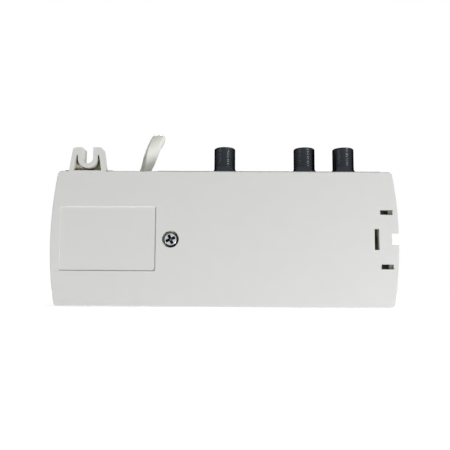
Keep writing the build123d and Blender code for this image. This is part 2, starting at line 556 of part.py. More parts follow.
# Aerial sockets: shell, insulator and centre contact for each
for name, x in SOCKET_XS.items():
    with BuildPart() as socket_shell:
        with Locations((x, BOARD_Y, UNDER_TOP_Z)):
            Box(
                SOCKET_BLOCK_W,
                BOARD_Y - SOCKET_Y + SOCKET_BLOCK_W / 2,
                SOCKET_BLOCK_H,
                align=(Align.CENTER, Align.MAX, Align.MAX),
            )
        fillet(socket_shell.edges().filter_by(Axis.Z).group_by(Axis.Y)[0], 1.0)
        with BuildSketch(Plane(origin=(x, SOCKET_Y, 0), x_dir=(1, 0, 0), z_dir=(0, -1, 0))):
            with BuildLine():
                Polyline(
                    (0, TOP_INNER_Z - 1),
                    (NECK_R, TOP_INNER_Z - 1),
                    (NECK_R, FIELD_Z),
                    (COLLAR_R, FIELD_Z),
                    (COLLAR_R, FIELD_Z + COLLAR_H),
                    (THREAD_R, FIELD_Z + COLLAR_H + COLLAR_CONE),
                    (THREAD_R, SOCKET_TIP_Z - TIP_CHAMFER),
                    (THREAD_R - TIP_CHAMFER, SOCKET_TIP_Z),
                    (0, SOCKET_TIP_Z),
                    close=True,
                )
            make_face()
        revolve(axis=Axis((x, SOCKET_Y, 0), (0, 0, 1)))
        with Locations((x, SOCKET_Y, SOCKET_TIP_Z)):
            Cylinder(
                SOCKET_BORE_R,
                SOCKET_TIP_Z - SOCKET_FLOOR_Z,
                align=(Align.CENTER, Align.CENTER, Align.MAX),
                mode=Mode.SUBTRACT,
            )
            Cylinder(CONTACT_R + 0.4, 40, align=(Align.CENTER, Align.CENTER, Align.MAX), mode=Mode.SUBTRACT)
        mouth = socket_shell.faces().filter_by(Plane.XY).sort_by(Axis.Z)[-1]
        chamfer(mouth.edges().sort_by(SortBy.LENGTH)[0], 0.3)
    socket_shell.part.label = f"{name}_socket_shell"
    export_step(socket_shell.part, f"parts/{name}_socket_shell.step")

    with BuildPart() as socket_insulator:
        with Locations((x, SOCKET_Y, SOCKET_FLOOR_Z)):
            Cylinder(
                SOCKET_BORE_R - 0.05,
                SOCKET_TIP_Z - 1.0 - SOCKET_FLOOR_Z,
                align=(Align.CENTER, Align.CENTER, Align.MIN),
            )
        top = socket_insulator.faces().sort_by(Axis.Z)[-1]
        chamfer(top.edges(), 0.3)
        with Locations((x, SOCKET_Y, SOCKET_FLOOR_Z)):
            Cylinder(CONTACT_R + 0.05, 60, mode=Mode.SUBTRACT)
        with Locations((x, SOCKET_Y, SOCKET_TIP_Z - 1.0)):
            Cone(
                CONTACT_R,
                CONTACT_R + 0.7,
                0.7,
                align=(Align.CENTER, Align.CENTER, Align.MAX),
                mode=Mode.SUBTRACT,
            )
    socket_insulator.part.label = f"{name}_socket_insulator"
    export_step(socket_insulator.part, f"parts/{name}_socket_insulator.step")

    with BuildPart() as socket_contact:
        with Locations((x, SOCKET_Y, CONTACT_FOOT_Z)):
            Cylinder(
                CONTACT_R,
                SOCKET_TIP_Z - 2.4 - CONTACT_FOOT_Z,
                align=(Align.CENTER, Align.CENTER, Align.MIN),
            )
        with Locations((x, SOCKET_Y, SOCKET_TIP_Z - 2.4)):
            down = (Align.CENTER, Align.CENTER, Align.MAX)
            Cylinder(0.45, 8, align=down, mode=Mode.SUBTRACT)
            Box(2 * CONTACT_R + 1, 0.25, 6, align=down, mode=Mode.SUBTRACT)
        with BuildSketch(facing_back(BOARD_Y)):
            with Locations((x, CONTACT_FOOT_Z + CONTACT_R)):
                Circle(CONTACT_R - 0.1)
        extrude(amount=BOARD_Y - SOCKET_Y)
    socket_contact.part.label = f"{name}_socket_contact"
    export_step(socket_contact.part, f"parts/{name}_socket_contact.step")

# Screening box on the board round the amplifier stage, with a partition, and its lid
with BuildPart() as screen_frame:
    with BuildSketch(facing_back(BOARD_Y)):
        with Locations((SCREEN_X, SCREEN_Z)):
            Rectangle(SCREEN_W, SCREEN_H)
            Rectangle(SCREEN_W - 2 * SHEET_T, SCREEN_H - 2 * SHEET_T, mode=Mode.SUBTRACT)
        with Locations((SCREEN_X + 6, SCREEN_Z)):
            Rectangle(SHEET_T, SCREEN_H - SHEET_T)
    extrude(amount=SCREEN_TALL)
    with BuildSketch(facing_back(BOARD_Y)):
        with Locations((SCREEN_X + 6, SCREEN_Z - 6)):
            Rectangle(SHEET_T + 2, 3)
        with GridLocations(SCREEN_W / 4, SCREEN_H, 3, 2):
            with Locations((SCREEN_X, SCREEN_Z)):
                Rectangle(4, 3)
    extrude(amount=1.5, mode=Mode.SUBTRACT)
screen_frame.part.label = "screen_frame"
export_step(screen_frame.part, "parts/screen_frame.step")

with BuildPart() as screen_lid:
    with BuildSketch(facing_back(BOARD_Y - SCREEN_TALL)):
        with Locations((SCREEN_X, SCREEN_Z)):
            RectangleRounded(SCREEN_W + 1.4, SCREEN_H + 1.4, 0.8)
            with GridLocations(12, 12, 4, 2):
                Circle(1.5, mode=Mode.SUBTRACT)
    extrude(amount=SHEET_T)
    with BuildSketch(facing_back(BOARD_Y - SCREEN_TALL)):
        with Locations((SCREEN_X, SCREEN_Z)):
            RectangleRounded(SCREEN_W + 1.4, SCREEN_H + 1.4, 0.8)
            Rectangle(SCREEN_W + 0.2, SCREEN_H + 0.2, mode=Mode.SUBTRACT)
            Rectangle(SCREEN_W - 10, SCREEN_H + 4, mode=Mode.SUBTRACT)
    extrude(amount=-2.5)
screen_lid.part.label = "screen_lid"
export_step(screen_lid.part, "parts/screen_lid.step")

# Mains transformer: laminated core, bobbin with feet and winding
with BuildPart() as transformer_core:
    with BuildSketch(facing_back(CORE_Y + CORE_STACK / 2)):
        with Locations((CORE_X, CORE_Z)):
            Rectangle(3 * CORE_LEG, CORE_H)
            with GridLocations(1.5 * CORE_LEG, 1, 2, 1):
                Rectangle(CORE_LEG / 2, CORE_H - CORE_LEG, mode=Mode.SUBTRACT)
    extrude(amount=CORE_STACK)
transformer_core.part.label = "transformer_core"
export_step(transformer_core.part, "parts/transformer_core.step")

window_h = CORE_H - CORE_LEG
with BuildPart() as transformer_bobbin:
    with Locations((CORE_X, CORE_Y, CORE_Z)):
        Box(CORE_LEG + 1.8, CORE_STACK + 1.8, window_h - 0.2)
        with Locations((0, 0, window_h / 2 - 0.6), (0, 0, 0.6 - window_h / 2)):
            Box(2 * CORE_LEG - 0.3, WINDING_TALL + 1.0, 1.0)
        with Locations(
            (0, BOARD_Y - CORE_Y, window_h / 2 - 1.1),
            (0, BOARD_Y - CORE_Y, 1.1 - window_h / 2),
        ):
            Box(
                2 * CORE_LEG - 0.3,
                BOARD_Y - CORE_Y - WINDING_TALL / 2,
                2.0,
                align=(Align.CENTER, Align.MAX, Align.CENTER),
            )
        Box(CORE_LEG + 0.1, CORE_STACK + 0.1, window_h + 2, mode=Mode.SUBTRACT)
transformer_bobbin.part.label = "transformer_bobbin"
export_step(transformer_bobbin.part, "parts/transformer_bobbin.step")

with BuildPart() as transformer_winding:
    with BuildSketch(Plane.XY.offset(CORE_Z - window_h / 2 + 1.2)):
        with Locations((CORE_X, CORE_Y)):
            RectangleRounded(2 * CORE_LEG - 1.2, WINDING_TALL - 0.4, 3.0)
            Rectangle(CORE_LEG + 1.9, CORE_STACK + 1.9, mode=Mode.SUBTRACT)
    extrude(amount=window_h - 2.4)
    with Locations((CORE_X, BOARD_Y, CORE_Z)):
        Box(40, 2 * (BOARD_Y - CORE_Y) - WINDING_TALL + 0.2, 40, mode=Mode.SUBTRACT)
transformer_winding.part.label = "transformer_winding"
export_step(transformer_winding.part, "parts/transformer_winding.step")

# Fuse in its two clips
with BuildPart() as fuse:
    with BuildSketch(Plane.YZ.offset(FUSE_X - FUSE_L / 2)):
        with Locations((FUSE_Y, FUSE_Z)):
            Circle(FUSE_R - 0.2)
            Circle(FUSE_R - 0.6, mode=Mode.SUBTRACT)
    extrude(amount=FUSE_L)
    with BuildSketch(Plane.YZ.offset(FUSE_X - FUSE_L / 2), Plane.YZ.offset(FUSE_X + FUSE_L / 2 - FUSE_CAP_L)):
        with Locations((FUSE_Y, FUSE_Z)):
            Circle(FUSE_R)
    extrude(amount=FUSE_CAP_L)
    with BuildSketch(Plane.YZ.offset(FUSE_X - FUSE_L / 2)):
        with Locations((FUSE_Y, FUSE_Z)):
            Circle(0.15)
    extrude(amount=FUSE_L)
fuse.part.label = "fuse"
export_step(fuse.part, "parts/fuse.step")

with BuildPart() as fuse_clips:
    for end in (-1, 1):
        clip_x = FUSE_X + end * (FUSE_L / 2 - FUSE_CAP_L / 2)
        with BuildSketch(Plane.YZ.offset(clip_x - 2.0)):
            with Locations((FUSE_Y, FUSE_Z)):
                Circle(FUSE_R + 0.5)
            with Locations((BOARD_Y, FUSE_Z)):
                Rectangle(BOARD_Y - FUSE_Y, 3.0, align=(Align.MAX, Align.CENTER))
            with Locations((FUSE_Y, FUSE_Z)):
                Circle(FUSE_R + 0.05, mode=Mode.SUBTRACT)
                Rectangle(6, 2 * FUSE_R - 1.2, align=(Align.MAX, Align.CENTER), mode=Mode.SUBTRACT)
        extrude(amount=4.0)
fuse_clips.part.label = "fuse_clips"
export_step(fuse_clips.part, "parts/fuse_clips.step")


def standing_can(x, z, radius, tall):
    """Round capacitor that stands on the board, with a scored vent and a rolled groove."""
    with BuildPart() as can:
        with BuildSketch(facing_back(BOARD_Y)):
            with Locations((x, z)):
                Circle(radius)
        extrude(amount=tall)
        fillet(can.faces().sort_by(Axis.Y)[0].edges(), 0.6)
        with BuildSketch(facing_back(BOARD_Y - 2.2)):
            with Locations((x, z)):
                Circle(radius + 1)
                Circle(radius - 0.35, mode=Mode.SUBTRACT)
        extrude(amount=0.8, mode=Mode.SUBTRACT)
        with BuildSketch(facing_back(BOARD_Y - tall)):
            with Locations((x, z)):
                Rectangle(1.5 * radius, 0.3)
                Rectangle(0.3, 1.5 * radius)
        extrude(amount=-0.3, mode=Mode.SUBTRACT)
    return can.part


smoothing_capacitor = standing_can(-13.0, 10.8, 5.0, 16.0)
smoothing_capacitor.label = "smoothing_capacitor"
export_step(smoothing_capacitor, "parts/smoothing_capacitor.step")
output_capacitor = standing_can(-13.5, BOARD_HIGH - 8.8, 4.0, 11.5)
output_capacitor.label = "output_capacitor"
export_step(output_capacitor, "parts/output_capacitor.step")

# Interference suppressor across the mains
with BuildPart() as suppressor_capacitor:
    with Locations((BOARD_LEFT + 9.8, BOARD_Y, BOARD_HIGH - 7.8)):
        Box(5.0, 10.0, 8.0, align=(Align.CENTER, Align.MAX, Align.CENTER))
    fillet(suppressor_capacitor.faces().sort_by(Axis.Y)[0].edges(), 0.6)
suppressor_capacitor.part.label = "suppressor_capacitor"
export_step(suppressor_capacitor.part, "parts/suppressor_capacitor.step")

# Four rectifier diodes lying side by side on their leads
with BuildPart() as rectifier_diodes:
    for step in range(4):
        diode_z = DIODE_Z + 2.85 * step
        with BuildSketch(Plane.YZ.offset(DIODE_X - 2.6)):
            with Locations((BOARD_Y - 1.9, diode_z)):
                Circle(1.35)
        extrude(amount=5.2)
        with BuildSketch(Plane.YZ.offset(DIODE_X - 4.4)):
            with Locations((BOARD_Y - 1.9, diode_z)):
                Circle(0.35)
        extrude(amount=8.8)
        for lead_x in (DIODE_X - 4.4, DIODE_X + 4.4):
            with Locations((lead_x, BOARD_Y, diode_z)):
                Box(0.7, 2.2, 0.7, align=(Align.CENTER, Align.MAX, Align.CENTER))
rectifier_diodes.part.label = "rectifier_diodes"
export_step(rectifier_diodes.part, "parts/rectifier_diodes.step")

# Voltage regulator standing against its cooling plate
with BuildPart() as voltage_regulator:
    with Locations((REG_X, BOARD_Y - 2.5, REG_Z)):
        Box(10.0, 9.0, 4.5, align=(Align.CENTER, Align.MAX, Align.MIN))
        Box(10.0, 15.4, 1.3, align=(Align.CENTER, Align.MAX, Align.MIN))
    with Locations(*[(REG_X + offset, BOARD_Y, REG_Z + 2.0) for offset in (-2.54, 0, 2.54)]):
        Box(0.8, 3.0, 0.6, align=(Align.CENTER, Align.MAX, Align.MIN))
    with BuildSketch(Plane.XY.offset(REG_Z)):
        with Locations((REG_X, BOARD_Y - 2.5 - 12.6)):
            Circle(1.8)
    extrude(amount=2, mode=Mode.SUBTRACT)
voltage_regulator.part.label = "voltage_regulator"
export_step(voltage_regulator.part, "parts/voltage_regulator.step")

with BuildPart() as cooling_plate:
    with BuildSketch(facing_back(BOARD_Y)):
        with Locations((REG_X, REG_Z)):
            Rectangle(12.5, 1.2, align=(Align.CENTER, Align.MAX))
        with Locations((REG_X - 6.25, REG_Z), (REG_X + 5.05, REG_Z)):
            Rectangle(1.2, 5.5, align=(Align.MIN, Align.MAX))
    extrude(amount=17.5)
cooling_plate.part.label = "cooling_plate"
export_step(cooling_plate.part, "parts/cooling_plate.step")

# Amplifier chips with their legs, inside the screening box
with BuildPart() as amplifier_chips:
    for chip_x, chip_z in CHIP_PLACES:
        with Locations((chip_x, BOARD_Y - 0.2, chip_z)):
            Box(5.0, 1.5, 4.0, align=(Align.CENTER, Align.MAX, Align.CENTER))
        with GridLocations(1.27, 1, 4, 1):
            with Locations((chip_x, BOARD_Y, chip_z)):
                Box(0.42, 0.4, 6.0, align=(Align.CENTER, Align.MAX, Align.CENTER))
amplifier_chips.part.label = "amplifier_chips"
export_step(amplifier_chips.part, "parts/amplifier_chips.step")

# Wound chokes on ferrite rods and the twin-hole splitter core
with BuildPart() as choke_coils:
    for choke_x, choke_z in CHOKE_PLACES:
        with BuildSketch(Plane.YZ.offset(choke_x - 3.5)):
            with Locations((BOARD_Y - 1.6, choke_z)):
                Circle(1.2)
        extrude(amount=7.0)
        with BuildSketch(*[Plane.YZ.offset(choke_x - 2.7 + 0.9 * turn) for turn in range(7)]):
            with Locations((BOARD_Y - 1.6, choke_z)):
                Circle(1.6)
        extrude(amount=0.6)
choke_coils.part.label = "choke_coils"
export_step(choke_coils.part, "parts/choke_coils.step")

with BuildPart() as splitter_core:
    with BuildSketch(facing_back(BOARD_Y)):
        with Locations((SPLIT_X, SPLIT_Z)):
            SlotOverall(13.0, 7.5)
            with GridLocations(5.6, 1, 2, 1):
                Circle(1.9, mode=Mode.SUBTRACT)
    extrude(amount=6.0)
splitter_core.part.label = "splitter_core"
export_step(splitter_core.part, "parts/splitter_core.step")

with BuildPart() as ceramic_capacitors:
    for cap_x, cap_z in CERAMIC_PLACES:
        with BuildSketch(Plane.YZ.offset(cap_x - 0.9)):
            with Locations((BOARD_Y - 3.6, cap_z)):
                Circle(2.4)
        extrude(amount=1.8)
        with Locations((cap_x, BOARD_Y, cap_z - 1.27), (cap_x, BOARD_Y, cap_z + 1.27)):
            Box(0.6, 2.2, 0.6, align=(Align.CENTER, Align.MAX, Align.CENTER))
ceramic_capacitors.part.label = "ceramic_capacitors"
export_step(ceramic_capacitors.part, "parts/ceramic_capacitors.step")

with BuildPart() as resistors:
    for place_x, place_z in RESISTOR_PLACES:
        with BuildSketch(Plane.XY.offset(place_z - 3.0)):
            with Locations((place_x, BOARD_Y - 1.6)):
                Circle(1.0)
        extrude(amount=6.0)
        for end in (-1, 1):
            with BuildSketch(Plane.XY.offset(place_z + end * 2.4 - 0.6)):
                with Locations((place_x, BOARD_Y - 1.6)):
                    Circle(1.25)
            extrude(amount=1.2)
            with Locations((place_x, BOARD_Y - 1.6, place_z + end * 3.6)):
                Box(0.6, 0.6, 1.8)
            with Locations((place_x, BOARD_Y, place_z + end * 4.2)):
                Box(0.6, 1.9, 0.6, align=(Align.CENTER, Align.MAX, Align.CENTER))
resistors.part.label = "resistors"
export_step(resistors.part, "parts/resistors.step")

# Power lamp on the far side of the board, its dome in the hole of the front face
with BuildPart() as power_lamp:
    with BuildSketch(Plane(origin=(LAMP_X, 0, LAMP_Z), x_dir=(1, 0, 0), z_dir=(0, 0, 1))):
        with BuildLine():
            Polyline(
                (0, BOARD_BACK_Y + 2),
                (1.9, BOARD_BACK_Y + 2),
                (1.9, BOARD_BACK_Y + 3),
                (1.5, BOARD_BACK_Y + 3),
            )
            Line((1.5, BOARD_BACK_Y + 3), (1.5, LAMP_TOP_Y - 1.5))
            RadiusArc((1.5, LAMP_TOP_Y - 1.5), (0, LAMP_TOP_Y), -1.5)
            Line((0, LAMP_TOP_Y), (0, BOARD_BACK_Y + 2))
        make_face()
    revolve(axis=Axis((LAMP_X, 0, LAMP_Z), (0, 1, 0)))
    with Locations((LAMP_X - 0.9, BOARD_BACK_Y, LAMP_Z), (LAMP_X + 0.9, BOARD_BACK_Y, LAMP_Z)):
        Box(0.6, 2.6, 0.6, align=(Align.CENTER, Align.MIN, Align.CENTER))
power_lamp.part.label = "power_lamp"
export_step(power_lamp.part, "parts/power_lamp.step")

# Clamp bar across the cord with its two screws
with BuildPart() as cord_clamp:
    with BuildSketch(facing_back(CLAMP_Y)):
        with Locations((ENTRY_X, CLAMP_Z)):
            SlotOverall(2 * CLAMP_HALF + 6, 6)
            with GridLocations(2 * CLAMP_HALF, 1, 2, 1):
                Circle(1.6, mode=Mode.SUBTRACT)
    extrude(amount=CLAMP_T)
    with Locations((ENTRY_X, CLAMP_Y - 1, CLAMP_Z)):
        Box(
            CORD_W + 1,
            SOCKET_Y - CORD_T / 2 - CLAMP_Y + 1,
            5.0,
            align=(Align.CENTER, Align.MIN, Align.CENTER),
        )
cord_clamp.part.label = "cord_clamp"
export_step(cord_clamp.part, "parts/cord_clamp.step")

with BuildPart() as clamp_screws:
    with BuildSketch(facing_back(CLAMP_Y - CLAMP_T)):
        with Locations((ENTRY_X - CLAMP_HALF, CLAMP_Z), (ENTRY_X + CLAMP_HALF, CLAMP_Z)):
            Circle(2.6)
    extrude(amount=1.7)
    fillet(clamp_screws.faces().group_by(Axis.Y)[0].edges(), 0.6)
    with BuildSketch(facing_back(CLAMP_Y - CLAMP_T)):
        with Locations((ENTRY_X - CLAMP_HALF, CLAMP_Z), (ENTRY_X + CLAMP_HALF, CLAMP_Z)):
            Circle(PILOT_R - 0.1)
    extrude(amount=-(CLAMP_T + 7.0))
    with BuildSketch(facing_back(CLAMP_Y - CLAMP_T - 1.7)):
        with Locations((ENTRY_X - CLAMP_HALF, CLAMP_Z), (ENTRY_X + CLAMP_HALF, CLAMP_Z)):
            Rectangle(2.4, 0.6)
            Rectangle(0.6, 2.4)
    extrude(amount=-0.9, mode=Mode.SUBTRACT)
clamp_screws.part.label = "clamp_screws"
export_step(clamp_screws.part, "parts/clamp_screws.step")

# Bush that lines the cord slot, flanged inside and outside the wall; its hole leans away from the cover
with BuildPart() as cord_bush:
    for low, tall, rim in (
        (UNDER_TOP_Z - BUSH_FLANGE_T, BUSH_FLANGE_T, BUSH_FLANGE),
        (UNDER_TOP_Z, HEIGHT - UNDER_TOP_Z, 0),
        (HEIGHT, BUSH_FLANGE_T, BUSH_FLANGE),
    ):
        with BuildSketch(Plane.XY.offset(low)):
            with Locations((ENTRY_X, SOCKET_Y + (BUSH_FRONT - BUSH_BACK) / 2)):
                RectangleRounded(BUSH_W + 2 * rim, BUSH_BACK + BUSH_FRONT + 2 * rim, 0.4 + rim)
        extrude(amount=tall)
    fillet(cord_bush.faces().sort_by(Axis.Z)[-1].edges(), 0.5)
    with BuildSketch(Plane(origin=ENTRY, z_dir=LEAN)):
        Circle(CORD_W / 2 + 0.05)
    extrude(amount=20, mode=Mode.SUBTRACT)
cord_bush.part.label = "cord_bush"
export_step(cord_bush.part, "parts/cord_bush.step")

# Flat end of the cord inside the housing, and its two cores down to the board
with BuildPart() as cord_inner_end:
    with BuildSketch(Plane.XY.offset(INNER_END_Z)):
        with Locations((ENTRY_X, SOCKET_Y)):
            SlotOverall(CORD_W, CORD_T)
    extrude(amount=UNDER_TOP_Z - BUSH_FLANGE_T - INNER_END_Z)
cord_inner_end.part.label = "cord_inner_end"
export_step(cord_inner_end.part, "parts/cord_inner_end.step")

with BuildPart() as supply_wires:
    for side in (-1, 1):
        core_x = ENTRY_X + side * CORE_GAP / 2
        with BuildLine() as core_line:
            FilletPolyline(
                (core_x, SOCKET_Y, INNER_END_Z),
                (core_x, SOCKET_Y, WIRE_FOOT_Z),
                (core_x, BOARD_Y, WIRE_FOOT_Z),
                radius=2.5,
            )
        with BuildSketch(Plane(origin=(core_x, SOCKET_Y, INNER_END_Z), z_dir=(0, 0, -1))):
            Circle(1.15)
        sweep(path=core_line.line)
supply_wires.part.label = "supply_wires"
export_step(supply_wires.part, "parts/supply_wires.step")


def bend_radii(points):
    """Bend radius at each inner point, from the shorter of the two runs that meet there."""
    radii = []
    for before, corner, after in zip(points, points[1:], points[2:]):
        run_in, run_out = corner - before, after - corner
        half_turn = math.radians(run_in.get_angle(run_out)) / 2
        radii.append(0.45 * min(run_in.length, run_out.length) / math.tan(half_turn))
    return radii


def report_tube(name, length, volume, radii):
    """Prints a tube's length, how its volume compares with section times length, and its bends."""
    section = math.pi * (CORD_W / 2) ** 2
    bends = ", ".join(f"{radius:.1f}" for radius in radii)
    print(f"{name}: length {length:.1f}, volume ratio {volume / section / length:.4f}, radii {bends}")


# Free stretch of cord: up and away from the bush, over behind the housing and
# down round the outside of the coil to its first turn
arch_points = [ENTRY, ENTRY + LEAN * ARCH_RUN]
for step in ARCH_STEPS:
    arch_points.append(arch_points[-1] + Vector(*step))
for x, y, z in LAY_DOWN:
    arch_points.append(Vector(COIL_X + x, COIL_Y + y, COIL_LOW_Z + z))
coil_start = Vector(COIL_X + COIL_R, COIL_Y, COIL_LOW_Z)
arch_points.append(coil_start + Vector(0, CORD_W, 0))
with BuildPart() as mains_cord:
    with BuildLine() as arch_line:
        FilletPolyline(*arch_points, radius=bend_radii(arch_points))
    with BuildSketch(Plane(origin=ENTRY, z_dir=LEAN)):
        Circle(CORD_W / 2)
    sweep(path=arch_line.line)
arch_length = arch_line.wires()[0].length
report_tube("mains_cord", arch_length, mains_cord.part.volume, bend_radii(arch_points))
mains_cord.part.label = "mains_cord"
export_step(mains_cord.part, "parts/mains_cord.step")

# Coil: inwards in the lower layer, up in the half turn where the spiral turns
# round, outwards in the upper layer, then away past the near side
sides = [COIL_R - COIL_PITCH / 2 * step for step in range(COIL_HALF_TURNS + 1)]
levels = [COIL_LOW_Z] * len(sides)
sides += [sides[-1] + COIL_PITCH / 2 * step for step in range(COIL_HALF_TURNS)]
levels += [COIL_TOP_Z] * COIL_HALF_TURNS
last_r = sides[-1] + COIL_PITCH / 4
last_x = COIL_X + sides[-1] - last_r
leave = Vector(math.cos(math.radians(LEAVE_ANGLE)), math.sin(math.radians(LEAVE_ANGLE)), 0)
coil_exit = Vector(last_x, COIL_Y, COIL_TOP_Z) + Vector(-leave.Y, leave.X, 0) * last_r
with BuildPart() as cord_coil:
    with BuildLine() as coil_line:
        spot = coil_start
        Line(spot + Vector(0, CORD_W, 0), spot)
        for step in range(1, len(sides)):
            side = -1 if step % 2 else 1
            goal = Vector(COIL_X + side * sides[step], COIL_Y, levels[step])
            heading = Vector(0, side, 0)
            join = (spot + goal) / 2 + heading * ((goal - spot).length / 2)
            quarter = TangentArc(spot, join, tangent=heading)
            TangentArc(join, goal, tangent=quarter % 1)
            spot = goal
        ThreePointArc(spot, Vector(last_x, COIL_Y - last_r, COIL_TOP_Z), coil_exit)
        Line(coil_exit, coil_exit + leave * CORD_W)
    with BuildSketch(Plane(origin=coil_start + Vector(0, CORD_W, 0), z_dir=(0, -1, 0))):
        Circle(CORD_W / 2)
    sweep(path=coil_line.line)
coil_wire = coil_line.wires()[0]
coil_length = coil_wire.length
report_tube("cord_coil", coil_length, cord_coil.part.volume, [min(sides), max(sides)])
cord_coil.part.label = "cord_coil"
export_step(cord_coil.part, "parts/cord_coil.step")

# Least distance of the coil to itself, measured between points along it
spots = [coil_wire @ (index / 1500) for index in range(1501)]
least = min(
    (spots[a] - spots[b]).length
    for a in range(0, 1501, 3)
    for b in range(a + int(4 * CORD_W * 1500 / coil_length), 1501, 3)
)
print(f"coil gap to itself {least - CORD_W:.2f}")

# Strap round the bundle on its near side
tie_out = COIL_Y - COIL_R + COIL_PITCH / 4 - CORD_W / 2 - TIE_GAP
tie_in = COIL_Y - sides[COIL_HALF_TURNS] - COIL_PITCH / 4 + CORD_W / 2 + TIE_GAP + 0.8
tie_top = COIL_TOP_Z + CORD_W / 2 + TIE_GAP
with BuildPart() as cord_tie:
    with BuildSketch(Plane.YZ.offset(COIL_X - TIE_W / 2)):
        with Locations(((tie_out + tie_in) / 2, tie_top / 2 + TIE_T / 2)):
            RectangleRounded(tie_in - tie_out + 2 * TIE_T, tie_top + TIE_T, 3.0)
            RectangleRounded(tie_in - tie_out, tie_top - TIE_T, 2.1, mode=Mode.SUBTRACT)
    extrude(amount=TIE_W)
cord_tie.part.label = "cord_tie"
export_step(cord_tie.part, "parts/cord_tie.step")

# Lead from the coil to the plug
lead_points = [coil_exit + leave * CORD_W]
for run, angle, rise in LEAD_RUNS:
    turn = math.radians(angle)
    lead_points.append(lead_points[-1] + Vector(run * math.cos(turn), run * math.sin(turn), rise))
with BuildPart() as plug_lead:
    with BuildLine() as lead_line:
        FilletPolyline(*lead_points, radius=bend_radii(lead_points))
    with BuildSketch(Plane(origin=lead_points[0], z_dir=lead_points[1] - lead_points[0])):
        Circle(CORD_W / 2)
    sweep(path=lead_line.line)
lead_length = lead_line.wires()[0].length
report_tube("plug_lead", lead_length, plug_lead.part.volume, bend_radii(lead_points))
plug_lead.part.label = "plug_lead"
export_step(plug_lead.part, "parts/plug_lead.step")
print(f"cord in all {arch_length + coil_length + lead_length:.1f}")

# Two-pole flat plug: a hexagonal body that narrows to the cord, with a ribbed neck
plug_end = lead_points[-1]
print("plug starts at", plug_end)
with BuildPart() as plug_body:
    for along, wide, thick, cut in (
        (0.0, 9.0, 8.0, 2.0),
        (NECK_L, 13.0, 10.4, 3.0),
        (NECK_L + 7.0, 26.0, PLUG_THICK, 5.0),
        (NECK_L + PLUG_LENGTH - 7.0, PLUG_W - 3, PLUG_THICK, 5.6),
        (NECK_L + PLUG_LENGTH, PLUG_W, PLUG_THICK, 5.6),
    ):
        ring_plane = Plane(origin=plug_end + Vector(0, along, 0), x_dir=(1, 0, 0), z_dir=(0, 1, 0))
        with BuildSketch(ring_plane) as ring:
            Rectangle(wide, thick)
            chamfer(ring.vertices(), cut)
    loft(ruled=True)
    for step in range(4):
        with BuildSketch(
            Plane(origin=plug_end + Vector(0, 1.6 + 2.4 * step, 0), x_dir=(1, 0, 0), z_dir=(0, 1, 0))
        ):
            Rectangle(20, 20)
            Rectangle(7.6 + step * 0.8, 20, mode=Mode.SUBTRACT)
        extrude(amount=1.0, mode=Mode.SUBTRACT)
plug_body.part.label = "plug_body"
export_step(plug_body.part, "parts/plug_body.step")

pin_face = plug_end + Vector(0, NECK_L + PLUG_LENGTH, 0)
pin_plane = Plane(origin=pin_face, x_dir=(1, 0, 0), z_dir=(0, 1, 0))
with BuildPart() as plug_pins:
    with BuildSketch(pin_plane):
        with GridLocations(PIN_SPACING, 1, 2, 1):
            Circle(PIN_R)
    extrude(amount=PIN_LENGTH)
    fillet(plug_pins.faces().group_by(Axis.Y)[-1].edges(), PIN_R - 0.1)
    with BuildSketch(pin_plane):
        with GridLocations(PIN_SPACING, 1, 2, 1):
            Circle(PIN_R + 1)
            Circle(PIN_R - SLEEVE_T, mode=Mode.SUBTRACT)
    extrude(amount=SLEEVE_L, mode=Mode.SUBTRACT)
plug_pins.part.label = "plug_pins"
export_step(plug_pins.part, "parts/plug_pins.step")

with BuildPart() as pin_sleeves:
    with BuildSketch(pin_plane):
        with GridLocations(PIN_SPACING, 1, 2, 1):
            Circle(PIN_R)
            Circle(PIN_R - SLEEVE_T, mode=Mode.SUBTRACT)
    extrude(amount=SLEEVE_L)
pin_sleeves.part.label = "pin_sleeves"
export_step(pin_sleeves.part, "parts/pin_sleeves.step")
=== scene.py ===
# %% [markdown]
# # A television signal amplifier, seen from its back cover
#
# The device is a flat housing in two mouldings. The picture shows the back cover
# with its three dark threaded sockets and the start of the mains lead on the top
# edge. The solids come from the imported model. This script gives them their
# finishes, draws the lead, its strap and plug, the sockets and the cover screw as
# finer meshes, and lights them.

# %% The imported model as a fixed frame
import json
import math

import bmesh
import bpy
from mathutils import Matrix, Vector


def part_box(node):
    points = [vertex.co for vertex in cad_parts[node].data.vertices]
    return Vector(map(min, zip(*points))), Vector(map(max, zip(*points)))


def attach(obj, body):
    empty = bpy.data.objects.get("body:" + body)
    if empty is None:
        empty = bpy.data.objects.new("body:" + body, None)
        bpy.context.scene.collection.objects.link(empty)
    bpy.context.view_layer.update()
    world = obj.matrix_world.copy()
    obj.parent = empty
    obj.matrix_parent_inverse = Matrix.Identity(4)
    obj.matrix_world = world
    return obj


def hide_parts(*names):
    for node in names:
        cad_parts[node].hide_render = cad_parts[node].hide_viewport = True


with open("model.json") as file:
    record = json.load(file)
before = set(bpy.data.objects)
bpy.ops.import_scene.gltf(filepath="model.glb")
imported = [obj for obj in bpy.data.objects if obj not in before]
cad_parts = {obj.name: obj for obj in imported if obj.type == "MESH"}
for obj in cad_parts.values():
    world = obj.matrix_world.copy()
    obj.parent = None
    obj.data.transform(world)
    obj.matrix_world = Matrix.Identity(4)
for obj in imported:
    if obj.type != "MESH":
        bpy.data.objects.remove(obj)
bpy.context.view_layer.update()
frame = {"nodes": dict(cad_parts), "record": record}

nodes = frame["nodes"]
MM = 0.001
print("nodes in the frame:", len(nodes))

# %% [markdown]
# ## Camera
#
# The photograph looks slightly up at the cover from 236 mm away. The pinhole was
# fitted to the cover's four corners and to the edges and rims of the three
# sockets, whose thread has a standard size. A short distance matters here: it is
# why the sockets' rims curve and why the right end looks a little lower.

